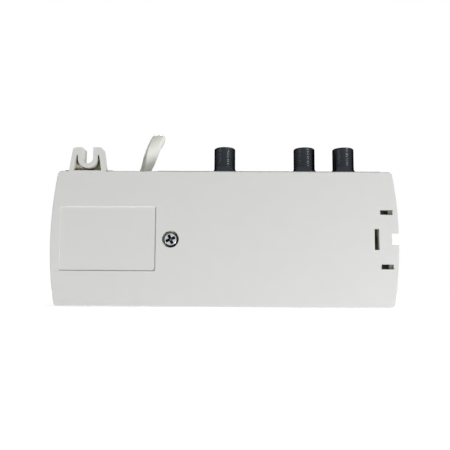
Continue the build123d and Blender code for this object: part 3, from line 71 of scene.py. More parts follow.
# %% Camera from the fitted position and angles
FOCAL_PX, PICTURE_PX, SENSOR_MM = 560.8, 450, 36.0
camera_place = Vector((2.71, -252.29, 7.68)) * MM
pitch, yaw, roll = math.radians(6.46), math.radians(-0.58), math.radians(0.36)

level = math.cos(pitch)
forward = Vector((math.sin(yaw) * level, math.cos(yaw) * level, math.sin(pitch)))
right = Vector((math.cos(yaw), -math.sin(yaw), 0))
upward = right.cross(forward)
turned_right = math.cos(roll) * right + math.sin(roll) * upward
turned_up = -math.sin(roll) * right + math.cos(roll) * upward

camera_data = bpy.data.cameras.new("camera")
camera_data.sensor_width = SENSOR_MM
camera_data.lens = FOCAL_PX * SENSOR_MM / PICTURE_PX
camera_data.clip_start = 10 * MM
camera = bpy.data.objects.new("camera", camera_data)
bpy.context.collection.objects.link(camera)
pose = Matrix((turned_right, turned_up, -forward)).transposed().to_4x4()
pose.translation = camera_place
camera.matrix_world = pose
bpy.context.scene.camera = camera
print(f"lens {camera_data.lens:.2f} mm")

# %% [markdown]
# ## The mains lead
#
# A flat two-core lead leaves the housing between the lug and the sockets, rises
# about two and a half centimetres and falls away behind. It is 1.5 m long, and the
# rest of it lies in a tied coil on the same surface, hidden by the housing. One
# NURBS spline carries the whole lead: a handful of given points for the free
# part and sixteen a turn for the coil. The falling part keeps behind its own rise,
# as the picture shows it, and stays within 12 mm of the imported tube. The flat
# sheath is then a mesh swept along that spline, its section a rectangle with
# rounded corners, because a flat cord turns about itself, and a plain bevel would
# stay round.

# %% Route of the free part, in millimetres
LEAD_WIDE = 6.0
LOW_LAYER, HIGH_LAYER = 4.2, 12.0
COIL_R, COIL_PITCH = 44.2, 7.5
coil_middle = Vector((20.0, 68.2, 0))
entry = Vector((-37.4, -2.5, 56.6))

free_points = [entry]
for stride in (
    (4.2, 13.1, 21.8),
    (-0.8, 23, 7.6),
    (-10.6, 25, -10),
    (-10.2, 14.5, -20),
    (1.0, 9.5, -26),
):
    free_points.append(free_points[-1] + Vector(stride))
for from_middle in (
    (-50.2, 27.9, 7.9),
    (-35, 48, LOW_LAYER),
    (-12, 60, LOW_LAYER),
    (17, 56.5, LOW_LAYER),
    (37, 37, LOW_LAYER),
    (COIL_R, 19.5, LOW_LAYER),
):
    free_points.append(coil_middle + Vector(from_middle))
print("free part:", len(free_points), "points")


# %% Turns of the coil, sixteen points a turn
# The radius changes by half a pitch each half turn, inwards below and outwards
# above, so the centre of each half turn steps from side to side.
def turn_point(middle_x, radius, turn, step, height):
    """A point as far outside the turn's circle as keeps the curve on the circle."""
    reach = radius / math.cos(step / 2)
    return Vector((
        middle_x + reach * math.cos(turn),
        coil_middle.y + reach * math.sin(turn),
        height,
    ))


HALF_TURNS, LOW_SIDES, HIGH_SIDES, STEPS_A_HALF = 10, 6, 5, 8
STEP = math.pi / STEPS_A_HALF
sides = [COIL_R - COIL_PITCH / 2 * count for count in range(LOW_SIDES)]
sides += [sides[-1] + COIL_PITCH / 2 * count for count in range(HIGH_SIDES)]
levels = [LOW_LAYER] * LOW_SIDES + [HIGH_LAYER] * HIGH_SIDES
coil_points = []
for half in range(HALF_TURNS):
    side = 1 if half % 2 == 0 else -1
    radius = (sides[half] + sides[half + 1]) / 2
    middle_x = coil_middle.x + side * (sides[half] - radius)
    for count in range(STEPS_A_HALF):
        turn = -(count + 0.5) * STEP + (0 if side == 1 else math.pi)
        share = (count + 0.5) / STEPS_A_HALF
        height = levels[half] + (levels[half + 1] - levels[half]) * share
        coil_points.append(turn_point(middle_x, radius, turn, STEP, height))
print("coil:", len(coil_points), "points")

# %% The last part of a turn, and the way off the coil
LAST_SWEEP, LAST_STEPS, LEAVE = math.radians(115), 5, math.radians(155)
last_radius = sides[-1] + COIL_PITCH / 4
last_x = coil_middle.x + sides[-1] - last_radius
for count in range(LAST_STEPS):
    turn = -(count + 0.5) * LAST_SWEEP / LAST_STEPS
    coil_points.append(
        turn_point(last_x, last_radius, turn, LAST_SWEEP / LAST_STEPS, HIGH_LAYER)
    )
away = Vector((math.cos(LEAVE), math.sin(LEAVE), 0))
coil_exit = Vector((last_x, coil_middle.y, HIGH_LAYER))
coil_exit += last_radius * Vector((-away.y, away.x, 0))
print("leaves the coil at", [round(value, 2) for value in coil_exit])

# %% From the coil to the plug
lead_points = [coil_exit + away * LEAD_WIDE]
for run, angle, rise in ((22, 155, 0), (24, 145, -2.5), (22, 118, -2.65), (20, 90, 0)):
    heading = math.radians(angle)
    stride = Vector((run * math.cos(heading), run * math.sin(heading), rise))
    lead_points.append(lead_points[-1] + stride)
plug_start = lead_points[-1]
print("plug starts at", [round(value, 2) for value in plug_start])

# %% One spline through all of it
route = [point * MM for point in free_points + coil_points + lead_points]
spline_data = bpy.data.curves.new("lead_route", "CURVE")
spline_data.dimensions = "3D"
spline_data.resolution_u = 8
spline = spline_data.splines.new("NURBS")
spline.points.add(len(route) - 1)
for point, place in zip(spline.points, route):
    point.co = (*place, 1)
spline.order_u = 3
spline.use_endpoint_u = True
route_object = bpy.data.objects.new("lead_route", spline_data)
bpy.context.collection.objects.link(route_object)
route_mesh = bpy.data.meshes.new_from_object(route_object)
line = [vertex.co.copy() for vertex in route_mesh.vertices]
bpy.data.objects.remove(route_object)
length = sum((b - a).length for a, b in zip(line, line[1:]))
print(f"lead: {len(line)} stations, {length:.3f} m")

# %% Which way the wide side faces
# The sheath leaves the housing edge on, has turned its wide side to the camera
# before it bends over, turns edge on again behind its own rise, where it is hidden,
# and stands on edge in the coil, because a flat cord bends over its thin side.
at_foot = Vector((1, 0, 0)).cross(Vector((0.24, 0.60, 1.00)).normalized())
upright, lying_flat = Vector((0, 0, -1)), Vector((-1, 0, 0))
wide_stations = (
    (0.000, at_foot),
    (0.004, at_foot),
    (0.021, Vector((-0.97, -0.14, 0.15))),
    (0.046, Vector((-1, -0.08, 0))),
    (0.072, Vector((0, -0.78, -0.62))),
    (0.190, upright),
    (length - 0.080, upright),
    (length - 0.030, lying_flat),
    (length + 0.001, lying_flat),
)


def wide_direction(distance):
    """Rough direction of the wide side at a distance along the lead in metres."""
    for (low, first), (high, second) in zip(wide_stations, wide_stations[1:]):
        if distance <= high:
            return first.lerp(second, (distance - low) / (high - low))
    return lying_flat


print("wide side at the foot:", [round(value, 2) for value in wide_direction(0)])


# %% Helpers for every piece that is built from rings of points
def flat_section(wide, thick, corner, count=24):
    """Points of a flat strip's outline, a rectangle with rounded corners."""
    outline = []
    for index in range(count):
        turn = 2 * math.pi * (index + 0.5) / count
        u = math.copysign(wide / 2 - corner, math.cos(turn)) + corner * math.cos(turn)
        v = math.copysign(thick / 2 - corner, math.sin(turn)) + corner * math.sin(turn)
        outline.append((u, v))
    return outline


def skin(rings, closed=False):
    """Faces between neighbouring rings; the ends are capped, or joined when closed."""
    body = bmesh.new()
    loops = [[body.verts.new(point) for point in ring] for ring in rings]
    pairs = list(zip(loops, loops[1:]))
    if closed:
        pairs.append((loops[-1], loops[0]))
    for first, second in pairs:
        for index in range(len(first)):
            after = (index + 1) % len(first)
            body.faces.new((first[index], first[after], second[after], second[index]))
    if not closed:
        body.faces.new(list(reversed(loops[0])))
        body.faces.new(loops[-1])
    bmesh.ops.recalc_face_normals(body, faces=body.faces)
    return body


def as_piece(name, body, crease=40):
    """Makes an object that rides on the housing, smooth up to the crease in degrees."""
    mesh = bpy.data.meshes.new(name)
    body.to_mesh(mesh)
    body.free()
    mesh.polygons.foreach_set("use_smooth", [True] * len(mesh.polygons))
    mesh.set_sharp_from_angle(angle=math.radians(crease))
    obj = bpy.data.objects.new(name, mesh)
    bpy.context.collection.objects.link(obj)
    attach(obj, "root")
    print(name, "faces:", len(mesh.polygons))
    return obj


# %% Sweep the flat sheath along the line
SHEATH_WIDE, SHEATH_THICK, SHEATH_CORNER = 6.3, 3.4, 1.3
sheath_outline = flat_section(SHEATH_WIDE * MM, SHEATH_THICK * MM, SHEATH_CORNER * MM)
sheath_rings, walked = [], 0.0
for index, place in enumerate(line):
    before, after = line[max(index - 1, 0)], line[min(index + 1, len(line) - 1)]
    along = (after - before).normalized()
    walked += (place - before).length
    wide = wide_direction(walked)
    wide = (wide - along * wide.dot(along)).normalized()
    thin = along.cross(wide)
    sheath_rings.append([place + wide * u + thin * v for u, v in sheath_outline])
mains_lead = as_piece("mains_lead", skin(sheath_rings))
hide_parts("mains_cord", "cord_coil", "plug_lead")

# %% [markdown]
# ## The plug
#
# The flat two-pole plug is one soft PVC moulding round the ends of the cores. Its
# section is a flattened hexagon that swells from the cord to the pin face, and its
# neck is ribbed so that it bends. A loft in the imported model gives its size. Here
# the section is drawn as a rounded form of the same outline, ring by ring, so the
# moulding gets soft edges and real grooves.

# %% Width, thickness and corner cut along the plug, in millimetres
PLUG_LENGTH = 36.0
plug_stations = (
    (0, 9.0, 8.0, 2.0),
    (12, 13.0, 10.4, 3.0),
    (19, 26.0, 13.7, 5.0),
    (29, 32.3, 13.7, 5.6),
    (PLUG_LENGTH, 35.3, 13.7, 5.6),
)


def plug_size(distance):
    """Width, thickness and corner cut of the plug at a distance from the cord."""
    distance = max(0.0, min(PLUG_LENGTH, distance))
    for first, second in zip(plug_stations, plug_stations[1:]):
        if distance <= second[0]:
            share = (distance - first[0]) / (second[0] - first[0])
            return [a + (b - a) * share for a, b in zip(first[1:], second[1:])]


print("plug at its pin face:", plug_size(PLUG_LENGTH))


# %% Plug moulding from rings, 0.4 mm apart
def within_one(value):
    """The value, held between 0 and 1."""
    return max(0.0, min(1.0, value))


SMOOTHED_OVER = (-1.2, -0.6, 0, 0.6, 1.2)
EDGE_ROUND, CORNER_POWER, PLUG_STEPS = 0.8, 12, 90
RIBS_FROM, RIBS_TO, RIB_PITCH = 1.2, 11.2, 2.4
GROOVE_AT, GROOVE_DEEP, GROOVE_POWER = 2.1, 0.9, 0.6


def plug_ring(distance, count=56):
    """One ring of the plug, its corners rounded, its neck grooved on the narrow sides."""
    sizes = [plug_size(distance + offset) for offset in SMOOTHED_OVER]
    wide, thick, cut = (sum(values) / len(sizes) for values in zip(*sizes))
    past_edge = max(0.0, EDGE_ROUND - min(distance, PLUG_LENGTH - distance))
    drawn_in = EDGE_ROUND - math.sqrt(EDGE_ROUND ** 2 - past_edge ** 2)
    half_wide, half_thick = wide / 2 - drawn_in, thick / 2 - drawn_in
    corner_reach = wide / 2 + thick / 2 - cut - drawn_in
    groove = 0.0
    if RIBS_FROM < distance < RIBS_TO:
        wave = math.cos(2 * math.pi * (distance - GROOVE_AT) / RIB_PITCH)
        groove = GROOVE_DEEP * max(0.0, wave) ** GROOVE_POWER
    ring = []
    for index in range(count):
        turn = 2 * math.pi * (index + 0.5) / count
        u, v = half_wide * math.cos(turn), half_thick * math.sin(turn)
        slabs = (abs(u) / half_wide, abs(v) / half_thick, (abs(u) + abs(v)) / corner_reach)
        size = sum(slab ** CORNER_POWER for slab in slabs) ** (1 / CORNER_POWER)
        u, v = u / size, v / size
        towards_side = within_one(4 * abs(u) / wide - 0.6)
        u -= math.copysign(groove * towards_side, u)
        ring.append((plug_start + Vector((u, distance, v))) * MM)
    return ring


plug_rings = [plug_ring(PLUG_LENGTH * step / PLUG_STEPS) for step in range(PLUG_STEPS + 1)]
plug_moulding = as_piece("plug_moulding", skin(plug_rings))
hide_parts("plug_body")

# %% [markdown]
# ## The strap round the coil
#
# A woven strap, nine millimetres wide, goes once round the turns and its end is
# pressed down on itself. It could be a bevelled curve, but a curve gives no control
# of the overlap. Here the ribbon's flat section runs round a rounded box, and it
# climbs over its own beginning by one thickness on the top.

# %% Ribbon wound round the bundle of turns
# It is drawn a hair thinner than the climb, so that its two layers don't touch.
STRAP_THICK, RIBBON_SHARE, STRAP_CORNER, STRAP_STEPS = 0.9, 0.96, 0.3, 160
OVERLAP, CLIMB_BEFORE, CLIMB_LONG = math.radians(45), 0.25, 0.2
BOX_POWER = 10
strap_low, strap_high = (Vector(corner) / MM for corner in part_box("cord_tie"))
strap_middle, strap_half = (strap_low + strap_high) / 2, (strap_high - strap_low) / 2


def strap_place(turn):
    """A place on the strap's middle line, lifted where it lies on its own beginning."""
    over = within_one((turn - 2 * math.pi + CLIMB_BEFORE) / CLIMB_LONG)
    lift = STRAP_THICK * (over * over * (3 - 2 * over) - 0.5)
    angle = math.pi / 2 - OVERLAP + turn
    u, v = math.cos(angle), math.sin(angle)
    slabs = (abs(u) / (strap_half.y + lift), abs(v) / (strap_half.z + lift))
    size = sum(slab ** BOX_POWER for slab in slabs) ** (1 / BOX_POWER)
    return strap_middle + Vector((0, u, v)) / size


strap_outline = flat_section(2 * strap_half.x, STRAP_THICK * RIBBON_SHARE, STRAP_CORNER)
strap_rings = []
for step in range(STRAP_STEPS + 1):
    turn = (2 * math.pi + 2 * OVERLAP) * step / STRAP_STEPS
    middle = strap_place(turn)
    along = (strap_place(turn + 0.01) - strap_place(turn - 0.01)).normalized()
    outward = Vector((1, 0, 0)).cross(along)
    strap_rings.append(
        [(middle + Vector((u, 0, 0)) + outward * v) * MM for u, v in strap_outline]
    )
coil_strap = as_piece("coil_strap", skin(strap_rings))
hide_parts("cord_tie")

# %% [markdown]
# ## The aerial sockets
#
# Each socket is turned brass, plated almost black, with a fine thread of 32 turns
# to the inch, a plain collar at its foot and a square body soldered to the board.
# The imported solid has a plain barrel. Here the whole shell is one skin of rings:
# the thread is the same ring again and again, a twelfth of the thread's pitch
# higher each time, its radius cut back where the groove passes. The crests are
# broad and the grooves narrow, both rounded by the plating, and their lower sides
# catch the low lamps as rows of small beads.

# %% Threads as a cut that depends on angle and height
AROUND, CUT_POWER = 72, 2.5
turns = [2 * math.pi * index / AROUND for index in range(AROUND)]


def thread_cut(turn, height, pitch, depth):
    """Depth of the groove at an angle in radians and a height, along one screw line."""
    phase = height / pitch - turn / (2 * math.pi)
    return depth * (0.5 - 0.5 * math.cos(2 * math.pi * phase)) ** CUT_POWER


print("angle between points:", round(math.degrees(turns[1]), 1))

# %% Sizes of a socket shell, in millimetres
SOCKET_Y = -2.5
THREAD_R, THREAD_PITCH, THREAD_DEPTH = 4.7625, 25.4 / 32, 0.14
THREAD_LOW, THREAD_HIGH, RINGS_A_TURN = 61.2, 70.2, 12
FOOT_FADE, TIP_FADE = 0.8, 0.3
BLOCK_SIDE, BLOCK_NEAR, BLOCK_FAR = 5.5, -8.0, 5.0
BLOCK_LOW, BLOCK_HIGH, CONTACT_HOLE_R = 45.1, 55.1, 1.3
neck_and_collar = (
    (4.7, BLOCK_HIGH),
    (4.7, 58.1),
    (5.2, 58.1),
    (5.3, 58.2),
    (5.3, 59.9),
    (5.27, 60.05),
    (4.78, THREAD_LOW - 0.05),
)
tip_and_bore = (
    (4.62, 70.42),
    (4.4, 70.6),
    (3.6, 70.6),
    (3.3, 70.3),
    (3.3, 47.6),
    (CONTACT_HOLE_R, 47.6),
)
print("thread:", round((THREAD_HIGH - THREAD_LOW) / THREAD_PITCH, 1), "turns")


# %% Three kinds of ring
def round_ring(radius, height):
    """A circle at a height, radius in millimetres."""
    return [(radius * math.cos(turn), radius * math.sin(turn), height) for turn in turns]


def block_ring(height):
    """Outline of the square body, one point for each angle, its corners kept."""
    near, far, tiny = BLOCK_NEAR - SOCKET_Y, BLOCK_FAR - SOCKET_Y, 1e-6
    ring = []
    for turn in turns:
        u, v = math.cos(turn), math.sin(turn)
        depth = far if v > 0 else -near
        reach = min(BLOCK_SIDE / max(abs(u), tiny), depth / max(abs(v), tiny))
        ring.append([reach * u, reach * v, height])
    for u in (BLOCK_SIDE, -BLOCK_SIDE):
        for v in (far, near):
            closest = min(ring, key=lambda point: math.hypot(point[0] - u, point[1] - v))
            closest[0], closest[1] = u, v
    return ring


def thread_ring(height):
    """A ring of the thread, which fades out towards the collar and the tip."""
    from_foot = (height - THREAD_LOW) / FOOT_FADE
    from_tip = (THREAD_HIGH + 0.1 - height) / TIP_FADE
    fade = within_one(min(from_foot, from_tip))
    ring = []
    for turn in turns:
        radius = THREAD_R - fade * thread_cut(turn, height, THREAD_PITCH, THREAD_DEPTH)
        ring.append((radius * math.cos(turn), radius * math.sin(turn), height))
    return ring


print("points in a ring:", len(block_ring(BLOCK_LOW)))

# %% Three socket shells from the same rings
thread_steps = round((THREAD_HIGH - THREAD_LOW) / (THREAD_PITCH / RINGS_A_TURN))
shell_rings = [round_ring(CONTACT_HOLE_R, BLOCK_LOW), block_ring(BLOCK_LOW), block_ring(BLOCK_HIGH)]
shell_rings += [round_ring(radius, height) for radius, height in neck_and_collar]
for step in range(thread_steps + 1):
    height = THREAD_LOW + (THREAD_HIGH - THREAD_LOW) * step / thread_steps
    shell_rings.append(thread_ring(height))
shell_rings += [round_ring(radius, height) for radius, height in tip_and_bore]
print("rings in a socket shell:", len(shell_rings))

socket_shells = []
for name, x in (("input", -0.1), ("output_1", 35.85), ("output_2", 53.45)):
    place = Vector((x, SOCKET_Y, 0))
    placed = [[(Vector(point) + place) * MM for point in ring] for ring in shell_rings]
    shell = as_piece(f"{name}_socket_threaded", skin(placed, closed=True))
    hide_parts(f"{name}_socket_shell")
    socket_shells.append(shell)

# %% [markdown]
# ## The cover screw
#
# A small zinc-plated pan head with a crossed recess, sunk in a round well. The
# recess is pressed in, so its four arms are deepest in the middle and rise to the
# head's surface. Its top is a set of fine rings lowered wherever the cross passes,
# and the shank below carries a coarse self-tapping thread.

# %% The crossed recess
CROSS_TURN, CROSS_DEEP = math.radians(23), 1.7
ARM_REACH, ARM_RAMP, ARM_HALF, ARM_SOFT = 2.1, 0.75, 0.5, 0.06
WELL_R, WELL_RAMP = 0.78, 0.16


def cross_depth(u, v):
    """Depth of the crossed recess at a place on the head."""
    along_u = u * math.cos(CROSS_TURN) + v * math.sin(CROSS_TURN)
    along_v = v * math.cos(CROSS_TURN) - u * math.sin(CROSS_TURN)
    far, near = max(abs(along_u), abs(along_v)), min(abs(along_u), abs(along_v))
    side = within_one((ARM_HALF + ARM_SOFT - near) / (2 * ARM_SOFT))
    ramp = within_one((ARM_REACH - far) / ARM_RAMP)
    well = within_one((WELL_R - math.hypot(u, v)) / WELL_RAMP)
    return CROSS_DEEP * max(side * ramp, well)


print("recess in the middle:", cross_depth(0, 0), "mm deep")

# %% The head
SCREW_X, SCREW_Z, SCREW_SEAT_Y = -22.8, 28.3, -13.6
HEAD_R, HEAD_TALL, TOP_R, TOP_RINGS, TOP_CROWN = 2.95, 2.0, 2.3, 30, 0.16


def screw_ring(radii, height, cut=None):
    """A ring in the screw's own axes, its height measured out of the cover from the seat."""
    ring = []
    for turn, radius in zip(turns, radii):
        u, v = radius * math.cos(turn), radius * math.sin(turn)
        lowered = cut(u, v) if cut else 0.0
        place = Vector((SCREW_X + u, SCREW_SEAT_Y - height + lowered, SCREW_Z + v))
        ring.append(place * MM)
    return ring


screw_rings = []
for step in range(1, TOP_RINGS + 1):
    share = step / TOP_RINGS
    height = HEAD_TALL - TOP_CROWN * share ** 2
    screw_rings.append(screw_ring([TOP_R * share] * AROUND, height, cross_depth))
for side_r, height in (
    (2.56, 1.78),
    (2.72, 1.66),
    (2.85, 1.45),
    (2.92, 1.15),
    (HEAD_R, 0.8),
    (HEAD_R, 0.0),
):
    screw_rings.append(screw_ring([side_r] * AROUND, height))
print("rings in the head:", len(screw_rings))

# %% Shank with a coarse thread, narrower and smoother towards its point
SHANK_R, SHANK_LONG, SHANK_STEPS = 1.4, 15.0, 90
TAP_PITCH, TAP_DEPTH = 1.3, 0.35
POINT_LONG, POINT_CUT, POINT_SMOOTH_R = 1.5, 0.9, 0.4


def shank_radius(turn, height):
    """Radius of the shank at an angle in radians and a height below the seat."""
    full = SHANK_R - POINT_CUT * max(0.0, 1 - (SHANK_LONG + height) / POINT_LONG)
    thread_share = min(1.0, full - POINT_SMOOTH_R)
    return full - thread_share * thread_cut(turn, height, TAP_PITCH, TAP_DEPTH)


for step in range(SHANK_STEPS + 1):
    height = -SHANK_LONG * step / SHANK_STEPS
    screw_rings.append(screw_ring([shank_radius(turn, height) for turn in turns], height))
pan_screw = as_piece("cover_screw_crossed", skin(screw_rings))
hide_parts("cover_screw")

# %% [markdown]
# ## Light
#
# The picture is a plain packshot on white. Two soft boxes stand in front, right and
# left of the camera and below the object: they leave the two thin streaks on each
# dark socket, and the housing's top edge shades the feet of the sockets and of the
# lead. The right one is much the stronger, so the cover fades gently to the left.
# One box above and one behind brighten the top edge and the lead. The picture's
# shadows are warm, so the faint even fill and these two boxes are warm, and the
# two in front are a trace cooler. The camera, glass and every mirroring surface
# see a pure white world. The front boxes stand below the floor's level, so the
# floor is left out of reflections and casts no shadow, and the metals still mirror
# the boxes.

# %% Helper that adds a node
def add(tree, kind, settings=None, links=None):
    """Adds one node, sets its properties and sockets, and links sockets from outputs."""
    node = tree.nodes.new(kind)
    for name, value in (settings or {}).items():
        if isinstance(name, str) and hasattr(node, name):
            setattr(node, name, value)
        else:
            node.inputs[name].default_value = value
    for name, output in (links or {}).items():
        tree.links.new(output, node.inputs[name])
    return node


# %% World: white for the camera, glass and metal, a faint even fill for the rest
FILL = 0.03
world = bpy.data.worlds.new("studio")
bpy.context.scene.world = world
bpy.context.scene.view_settings.view_transform = "Standard"
world.use_nodes = True
sky = world.node_tree
sky.nodes.clear()
ray = add(sky, "ShaderNodeLightPath")
straight = add(
    sky, "ShaderNodeMath", {"operation": "MAXIMUM"},
    {0: ray.outputs["Is Camera Ray"], 1: ray.outputs["Is Transmission Ray"]},
)
sees_white = add(
    sky, "ShaderNodeMath", {"operation": "MAXIMUM"},
    {0: straight.outputs[0], 1: ray.outputs["Is Glossy Ray"]},
)
fill = add(sky, "ShaderNodeBackground", {"Color": (1.0, 0.985, 0.90, 1), "Strength": FILL})
white = add(sky, "ShaderNodeBackground", {"Color": (1, 1, 1, 1), "Strength": 1.0})
mixed = add(
    sky, "ShaderNodeMixShader", None,
    {0: sees_white.outputs[0], 1: fill.outputs[0], 2: white.outputs[0]},
)
add(sky, "ShaderNodeOutputWorld", None, {"Surface": mixed.outputs[0]})
print("fill:", FILL)

# %% Soft boxes
COOL_TRACE, YELLOW_TRACE, WARM_TRACE = (0.975, 0.975, 1.0), (1.0, 1.0, 0.90), (1.0, 0.99, 0.95)
lamps_look_at = Vector((0, 0, 0.03))


def soft_box(name, place, size, watts, colour):
    """A square area lamp that looks at the middle of the housing; places in metres."""
    lamp = bpy.data.lights.new(name, "AREA")
    lamp.size = size
    lamp.energy = watts
    lamp.color = colour
    obj = bpy.data.objects.new(name, lamp)
    bpy.context.collection.objects.link(obj)
    obj.location = place
    view = lamps_look_at - Vector(place)
    obj.rotation_euler = view.to_track_quat("-Z", "Y").to_euler()
    print(f"{name}: {watts} W from {view.length:.2f} m")


soft_box("box_right", (0.64, -0.80, -0.35), 0.20, 10.4, COOL_TRACE)
soft_box("box_left", (-0.60, -0.47, -0.24), 0.14, 1.2, COOL_TRACE)
soft_box("box_above", (0.25, 0.13, 0.80), 0.60, 2.9, YELLOW_TRACE)
soft_box("box_behind", (-0.40, 0.90, 0.40), 0.60, 6.0, WARM_TRACE)

# %% Floor: a white card that still carries the shadow
# It casts no shadow itself, so the low boxes light the front from under its level.
FLOOR_HALF = 3
floor_mesh = bpy.data.meshes.new("floor")
floor_corners = [
    (FLOOR_HALF * x, FLOOR_HALF * y, 0) for x, y in ((-1, -1), (1, -1), (1, 1), (-1, 1))
]
floor_mesh.from_pydata(floor_corners, [], [(0, 1, 2, 3)])
floor = bpy.data.objects.new("floor", floor_mesh)
bpy.context.collection.objects.link(floor)
floor.visible_shadow = False
floor.visible_glossy = False
print("floor:", 2 * FLOOR_HALF, "m square")

# %% The card's own white
# Only the camera sees its glow. The glow is a little under white near the object,
# so that the light on the card and the shadow in it still show, and full white far
# off, so that no horizon shows. Where something stands close above, an occlusion
# node dims the glow: a painted contact shadow.
SHADOW_REACH, SHADE_FULL_BELOW, PAINTED_SHADOW_GLOW = 0.035, 0.2, 0.45
NEAR_RADIUS, FAR_RADIUS, NEAR_GLOW = 0.4, 1.2, 0.84
floor_paint = bpy.data.materials.new("white_card")
floor_paint.use_nodes = True
card = floor_paint.node_tree
card.nodes.clear()
spot = add(card, "ShaderNodeTexCoord")
out_from_middle = add(
    card, "ShaderNodeVectorMath", {"operation": "LENGTH"}, {0: spot.outputs["Object"]}
)
far_white = add(
    card, "ShaderNodeMapRange",
    {"From Min": NEAR_RADIUS, "From Max": FAR_RADIUS, "To Min": NEAR_GLOW, "To Max": 1.0},
    {"Value": out_from_middle.outputs["Value"]},
)
openness = add(
    card, "ShaderNodeAmbientOcclusion", {"samples": 16, "Distance": SHADOW_REACH}
)
# Painted contact shadow: the glow is dimmed by occlusion where something stands close above the
# card.
painted_contact_shadow = add(
    card, "ShaderNodeMapRange",
    {"From Min": SHADE_FULL_BELOW, "From Max": 1.0, "To Min": PAINTED_SHADOW_GLOW, "To Max": 1.0},
    {"Value": openness.outputs["AO"]},
)
glow_level = add(
    card, "ShaderNodeMath", {"operation": "MULTIPLY"},
    {0: far_white.outputs["Result"], 1: painted_contact_shadow.outputs["Result"]},
)
matte = add(card, "ShaderNodeBsdfDiffuse", {"Color": (0.8, 0.8, 0.8, 1)})
glow = add(
    card, "ShaderNodeEmission", {"Color": (1, 1, 1, 1)}, {"Strength": glow_level.outputs[0]}
)
both = add(card, "ShaderNodeAddShader", None, {0: matte.outputs[0], 1: glow.outputs[0]})
eye = add(card, "ShaderNodeLightPath")
card_mix = add(
    card, "ShaderNodeMixShader", None,
    {0: eye.outputs["Is Camera Ray"], 1: matte.outputs[0], 2: both.outputs[0]},
)
add(card, "ShaderNodeOutputMaterial", None, {"Surface": card_mix.outputs[0]})
floor_mesh.materials.append(floor_paint)
print("nodes in the card:", len(card.nodes))


# %% [markdown]
# ## Finishes
#
# Each material is named for the real one. A helper turns a hex colour into the
# linear values that Blender works in. Three more helpers give a fine relief, a
# colour that is never quite even, and painted shade in gaps and folds. All three
# measure their patterns in millimetres on the object.

# %% Helpers for colour and for a plain material
def hex_colour(code):
    """sRGB hex such as "d8d9d6" to a linear colour with alpha."""
    values = []
    for index in (0, 2, 4):
        value = int(code[index:index + 2], 16) / 255
        values.append(value / 12.92 if value <= 0.04045 else ((value + 0.055) / 1.055) ** 2.4)
    return (*values, 1.0)


def finish_named(name, colour, roughness, metallic=0.0, ior=None):
    """A principled material with its output, ready for more nodes."""
    material = bpy.data.materials.new(name)
    material.use_nodes = True
    tree = material.node_tree
    tree.nodes.clear()
    shader = add(
        tree, "ShaderNodeBsdfPrincipled",
        {"Base Color": hex_colour(colour), "Roughness": roughness, "Metallic": metallic},
    )
    if ior:
        shader.inputs["IOR"].default_value = ior
    add(tree, "ShaderNodeOutputMaterial", None, {"Surface": shader.outputs[0]})
    return material, tree, shader


print("middle grey in linear values:", [round(value, 3) for value in hex_colour("808080")])


# %% Helpers for relief, mottling and painted shade in gaps
def relief(tree, shader, size_mm, depth_mm, stretch=(1, 1, 1), normal=None):
    """Fine bump, its grains about size_mm across, longer where stretch is small."""
    place = add(tree, "ShaderNodeTexCoord")
    drawn = add(
        tree, "ShaderNodeMapping", {"Scale": stretch}, {"Vector": place.outputs["Object"]}
    )
    noise = add(
        tree, "ShaderNodeTexNoise", {"Scale": 1.0 / (size_mm * MM), "Detail": 2.0},
        {"Vector": drawn.outputs["Vector"]},
    )
    bump = add(
        tree, "ShaderNodeBump", {"Distance": depth_mm * MM, "Strength": 1.0},
        {"Height": noise.outputs["Fac"]},
    )
    if normal:
        tree.links.new(normal, bump.inputs["Normal"])
    tree.links.new(bump.outputs["Normal"], shader.inputs["Normal"])


def mottled(tree, shader, first, second, size_mm, stretch=(1, 1, 1)):
    """Base colour that drifts between two near hex values over patches of size_mm."""
    place = add(tree, "ShaderNodeTexCoord")
    drawn = add(
        tree, "ShaderNodeMapping", {"Scale": stretch}, {"Vector": place.outputs["Object"]}
    )
    noise = add(
        tree, "ShaderNodeTexNoise", {"Scale": 1.0 / (size_mm * MM), "Detail": 3.0},
        {"Vector": drawn.outputs["Vector"]},
    )
    mix = add(
        tree, "ShaderNodeMix",
        {"data_type": "RGBA", 6: hex_colour(first), 7: hex_colour(second)},
        {0: noise.outputs["Fac"]},
    )
    tree.links.new(mix.outputs[2], shader.inputs["Base Color"])
    return mix


def painted_gap_shade(tree, shader, mix, gap_mm, stops):
    """Paints shade into the colour by how open the surface is within gap_mm; stops give the tints.
    """
    # Painted shade: an occlusion node darkens and tints the base colour where the surface is
    # enclosed.
    open_sky = add(
        tree, "ShaderNodeAmbientOcclusion", {"samples": 8, "Distance": gap_mm * MM}
    )
    tint = add(tree, "ShaderNodeValToRGB", None, {"Fac": open_sky.outputs["AO"]})
    marks = tint.color_ramp.elements
    while len(marks) < len(stops):
        marks.new(0.5)
    for mark, (openness, code) in zip(marks, stops):
        mark.position, mark.color = openness, hex_colour(code)
    joined = add(
        tree, "ShaderNodeMix", {"data_type": "RGBA", "blend_type": "MULTIPLY", 0: 1.0},
        {6: mix.outputs[2], 7: tint.outputs["Color"]},
    )
    tree.links.new(joined.outputs[2], shader.inputs["Base Color"])


def wave_scale(spacing_mm):
    """Scale of a wave texture whose crests are spacing_mm apart."""
    return math.pi / 10 / (spacing_mm * MM)


print("wave scale for a rib each millimetre:", round(wave_scale(1)))
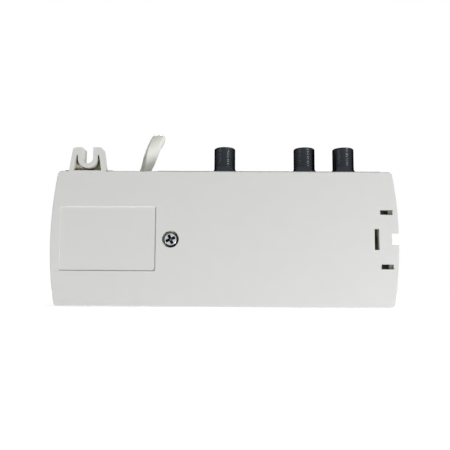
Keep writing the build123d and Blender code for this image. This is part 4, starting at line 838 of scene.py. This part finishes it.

# %% [markdown]
# ### The housing: moulded ABS
#
# Light grey ABS, moulded in a tool with a fine spark-eroded surface, is matt and
# even. The eroded grain is near 0.15 mm and would not show, so it is drawn 0.4 mm
# across. Moulded edges are never sharp: a bevel node rounds them in the shading.
# Narrow slots look dark and warm, because light bounces in them many times off the
# slightly yellow plastic, and an occlusion node paints that shade into the colour.

# %% Light grey ABS
GRAIN_MM, GRAIN_DEEP_MM, EDGE_MM, SLOT_MM = 0.4, 0.012, 0.12, 7.0
# Painted shade: slots, pockets and gaps get a dark, warm colour from an occlusion node.
painted_slot_shade = ((0, "2e241a"), (0.02, "7a6c55"), (0.06, "ded3b6"), (0.2, "f6f1e2"), (0.5, "ffffff"))
abs_plastic, tree, shader = finish_named("light_grey_abs", "d9dad7", 0.52, ior=1.54)
soft_edges = add(tree, "ShaderNodeBevel", {"samples": 6, "Radius": EDGE_MM * MM})
relief(tree, shader, GRAIN_MM, GRAIN_DEEP_MM, normal=soft_edges.outputs["Normal"])
plastic_colour = mottled(tree, shader, "dadbd8", "d7d8d5", 6.0)
painted_gap_shade(tree, shader, plastic_colour, SLOT_MM, painted_slot_shade)
print(abs_plastic.name, "nodes:", len(tree.nodes))

# %% [markdown]
# ### Metals outside: black nickel, bright zinc and nickel
#
# Black nickel over brass is a dark mirror with a satin skin. Its reflection at
# grazing angles is held down by a dark edge tint, as the real plate keeps its
# darkness there. The screw is steel with a thin zinc coat, bluish and bright. Its
# narrow recess gets painted shade: an occlusion node darkens its colour there,
# standing in for the metal mirroring mostly itself. The plug's pins are nickel on
# brass, slightly warm and drawn along their length.

# %% Black nickel
black_nickel, tree, shader = finish_named("black_nickel_on_brass", "36393d", 0.24, 1.0)
shader.inputs["Specular Tint"].default_value = hex_colour("4a4c4e")
relief(tree, shader, 0.35, 0.003)
mottled(tree, shader, "383b3f", "33363a", 1.5)
print(black_nickel.name, "nodes:", len(tree.nodes))

# %% Bright zinc
RECESS_MM = 1.3
# Painted shade: the crossed recess and the well's rim are darkened in the colour by an occlusion
# node.
painted_recess_shade = ((0, "0a0c0f"), (0.66, "14181c"), (0.86, "9aa0a4"), (0.93, "ffffff"))
zinc, tree, shader = finish_named("zinc_on_steel", "c6cbce", 0.24, 1.0)
relief(tree, shader, 0.5, 0.012)
zinc_colour = mottled(tree, shader, "c6ccd1", "b4b7b5", 0.9)
painted_gap_shade(tree, shader, zinc_colour, RECESS_MM, painted_recess_shade)
print(zinc.name, "nodes:", len(tree.nodes))

# %% Nickel on the pins
nickel, tree, shader = finish_named("nickel_on_brass", "cfccc4", 0.18, 1.0)
relief(tree, shader, 0.3, 0.006, (1, 0.1, 1))
mottled(tree, shader, "d2cfc8", "c4c0b6", 1.2, (1, 0.2, 1))
print(nickel.name, "nodes:", len(tree.nodes))

# %% [markdown]
# ### Soft PVC and the woven strap
#
# The lead and the plug are white PVC, a little glossy and faintly uneven. Where the
# lead goes into the housing it looks olive and dim; that is painted shade, an olive
# tint that an occlusion node puts into the colour there and in the coil's folds.
# The strap round the coil is woven nylon: two crossed sets of ribs 0.6 mm apart,
# drawn as waves.

# %% White PVC
FOLD_MM = 11.0
# Painted shade: an occlusion node gives the lead's foot and the coil's folds an olive, dim colour.
painted_fold_shade = ((0, "4c4833"), (0.50, "736f58"), (0.72, "ffffff"))
pvc, tree, shader = finish_named("white_pvc", "f4f4f1", 0.42, ior=1.53)
relief(tree, shader, 1.5, 0.008)
pvc_colour = mottled(tree, shader, "f6f6f3", "f0f0ec", 5.0)
painted_gap_shade(tree, shader, pvc_colour, FOLD_MM, painted_fold_shade)
print(pvc.name, "nodes:", len(tree.nodes))

# %% Woven strap
RIB_MM, RIB_DEEP_MM = 0.6, 0.12
woven, tree, shader = finish_named("woven_nylon_strap", "2c2c2e", 0.75, ior=1.53)
place = add(tree, "ShaderNodeTexCoord")
ribs = [
    add(tree, "ShaderNodeTexWave", {"bands_direction": axis, "Scale": wave_scale(RIB_MM)},
        {"Vector": place.outputs["Object"]})
    for axis in ("X", "Z")
]
crossed = add(
    tree, "ShaderNodeMath", {"operation": "ADD"},
    {0: ribs[0].outputs["Fac"], 1: ribs[1].outputs["Fac"]},
)
weave = add(
    tree, "ShaderNodeBump", {"Distance": RIB_DEEP_MM * MM, "Strength": 1.0},
    {"Height": crossed.outputs[0]},
)
tree.links.new(weave.outputs["Normal"], shader.inputs["Normal"])
mottled(tree, shader, "303032", "262628", 0.8)
print(woven.name, "nodes:", len(tree.nodes))

# %% [markdown]
# ### Inside the housing, and small parts at its openings
#
# Most of these parts show only when the cover is off. The insulators and contacts
# show in the mouths of the sockets, the lamp's dome on the front, and the black
# sleeves on the plug's pins. Each one gets the colour and the marks of its own
# making: rolled metals are drawn along one way, moulded and dipped coats are
# mottled, the core shows its laminations and the winding its wires, half a
# millimetre and a third of a millimetre apart. The board is green solder mask over
# copper tracks, drawn as a pattern of long bricks. The fuse's glass and the lamp's
# red resin let light through.

# %% Moulded, dipped and rolled finishes
inside = {}
for slot, title, code, second, rough, metal, size, stretch in (
    ("white_dielectric", "polythene_insulator", "e6e6df", "deded4", 0.45, 0, 1.5, (1, 1, 1)),
    ("contact_brass", "spring_brass", "c9a862", "bb9750", 0.28, 1, 1.0, (1, 1, 0.2)),
    ("tinned_steel", "tinned_steel_sheet", "c9c9c5", "b9bab7", 0.32, 1, 2.5, (0.3, 1, 1)),
    ("bobbin_nylon", "natural_nylon", "c4c1b4", "bab7a8", 0.55, 0, 2.0, (1, 1, 1)),
    ("capacitor_sleeve", "shrunk_pvc_sleeve", "22304e", "1b2740", 0.35, 0, 3.0, (1, 1, 1)),
    ("film_case", "yellow_film_box", "c8ac40", "bda136", 0.40, 0, 2.0, (1, 1, 1)),
    ("black_epoxy", "moulded_epoxy", "2b2b2b", "232323", 0.55, 0, 0.8, (1, 1, 1)),
    ("plain_aluminium", "rolled_aluminium", "ced1d2", "bfc2c4", 0.36, 1, 1.5, (1, 0.1, 1)),
    ("ferrite", "sintered_ferrite", "3c3b3a", "2e2d2d", 0.65, 0, 0.6, (1, 1, 1)),
    ("ceramic_coat", "dipped_resin", "bb8144", "a86f35", 0.35, 0, 1.0, (1, 1, 1)),
    ("resistor_coat", "beige_lacquer", "bd9e78", "ad8d66", 0.40, 0, 0.8, (1, 1, 1)),
    ("wire_blue", "blue_pvc_core", "3d5c9e", "345192", 0.40, 0, 1.5, (1, 1, 1)),
    ("sleeve_black", "black_pin_sleeve", "2e2e2f", "262627", 0.45, 0, 1.0, (1, 1, 1)),
):
    inside[slot], tree, shader = finish_named(title, code, rough, metal)
    relief(tree, shader, size / 3, 0.01, stretch)
    mottled(tree, shader, code, second, size, stretch)
print("plain finishes:", len(inside))

# %% Solder mask on the board
TRACK_MM = 8
board, tree, shader = finish_named("solder_mask_on_glass_laminate", "1f5c33", 0.38, ior=1.5)
place = add(tree, "ShaderNodeTexCoord")
tracks = add(
    tree, "ShaderNodeTexBrick",
    {
        "offset": 0.35,
        "Color1": hex_colour("2a6e3e"),
        "Color2": hex_colour("23653a"),
        "Mortar": hex_colour("184a29"),
        "Scale": 1.0 / (TRACK_MM * MM),
        "Mortar Size": 0.05,
    },
    {"Vector": place.outputs["Object"]},
)
tree.links.new(tracks.outputs["Color"], shader.inputs["Base Color"])
relief(tree, shader, 0.6, 0.01)
print(board.name, "nodes:", len(tree.nodes))

# %% Laminations and enamelled wire
BAND_DEEP_MM = 0.08
bands = {}
for slot, title, crest, gap, rough, axis, spacing in (
    ("core_iron", "varnished_laminations", "55524c", "35332f", 0.5, "Y", 0.5),
    ("winding_copper", "enamelled_copper_wire", "b0683a", "6e3a1e", 0.35, "Z", 0.33),
):
    bands[slot], tree, shader = finish_named(title, crest, rough, 1.0)
    place = add(tree, "ShaderNodeTexCoord")
    wave = add(
        tree, "ShaderNodeTexWave", {"bands_direction": axis, "Scale": wave_scale(spacing)},
        {"Vector": place.outputs["Object"]},
    )
    colours = add(
        tree, "ShaderNodeMix",
        {"data_type": "RGBA", 6: hex_colour(gap), 7: hex_colour(crest)},
        {0: wave.outputs["Fac"]},
    )
    tree.links.new(colours.outputs[2], shader.inputs["Base Color"])
    lines = add(
        tree, "ShaderNodeBump", {"Distance": BAND_DEEP_MM * MM, "Strength": 1.0},
        {"Height": wave.outputs["Fac"]},
    )
    tree.links.new(lines.outputs["Normal"], shader.inputs["Normal"])
print("banded finishes:", len(bands))

# %% Glass of the fuse and resin of the lamp
fuse_glass, tree, shader = finish_named("fuse_glass", "eef2f2", 0.05, ior=1.52)
shader.inputs["Transmission Weight"].default_value = 0.75
relief(tree, shader, 2.0, 0.01)
lamp_lens, tree, shader = finish_named("red_lamp_resin", "b01818", 0.12, ior=1.54)
shader.inputs["Transmission Weight"].default_value = 0.35
relief(tree, shader, 1.0, 0.01)
mottled(tree, shader, "b41c1c", "a01414", 1.5)
print("clear finishes:", fuse_glass.name, lamp_lens.name)

# %% Give every node of the frame its finish
chosen = {
    "case_plastic": abs_plastic,
    "black_nickel": black_nickel,
    "zinc_steel": zinc,
    "cord_sheath": pvc,
    "nickel_brass": nickel,
    "tie_plastic": woven,
    "board_laminate": board,
    "fuse_glass": fuse_glass,
    "lamp_lens": lamp_lens,
    **bands,
    **inside,
}
for part in frame["record"]["subparts"]:
    mesh = nodes[part["node"]].data
    mesh.materials.clear()
    mesh.materials.append(chosen[part["material_slot"]])
for piece in (mains_lead, plug_moulding):
    piece.data.materials.append(pvc)
for shell in socket_shells:
    shell.data.materials.append(black_nickel)
coil_strap.data.materials.append(woven)
pan_screw.data.materials.append(zinc)
print("finishes:", len(chosen))
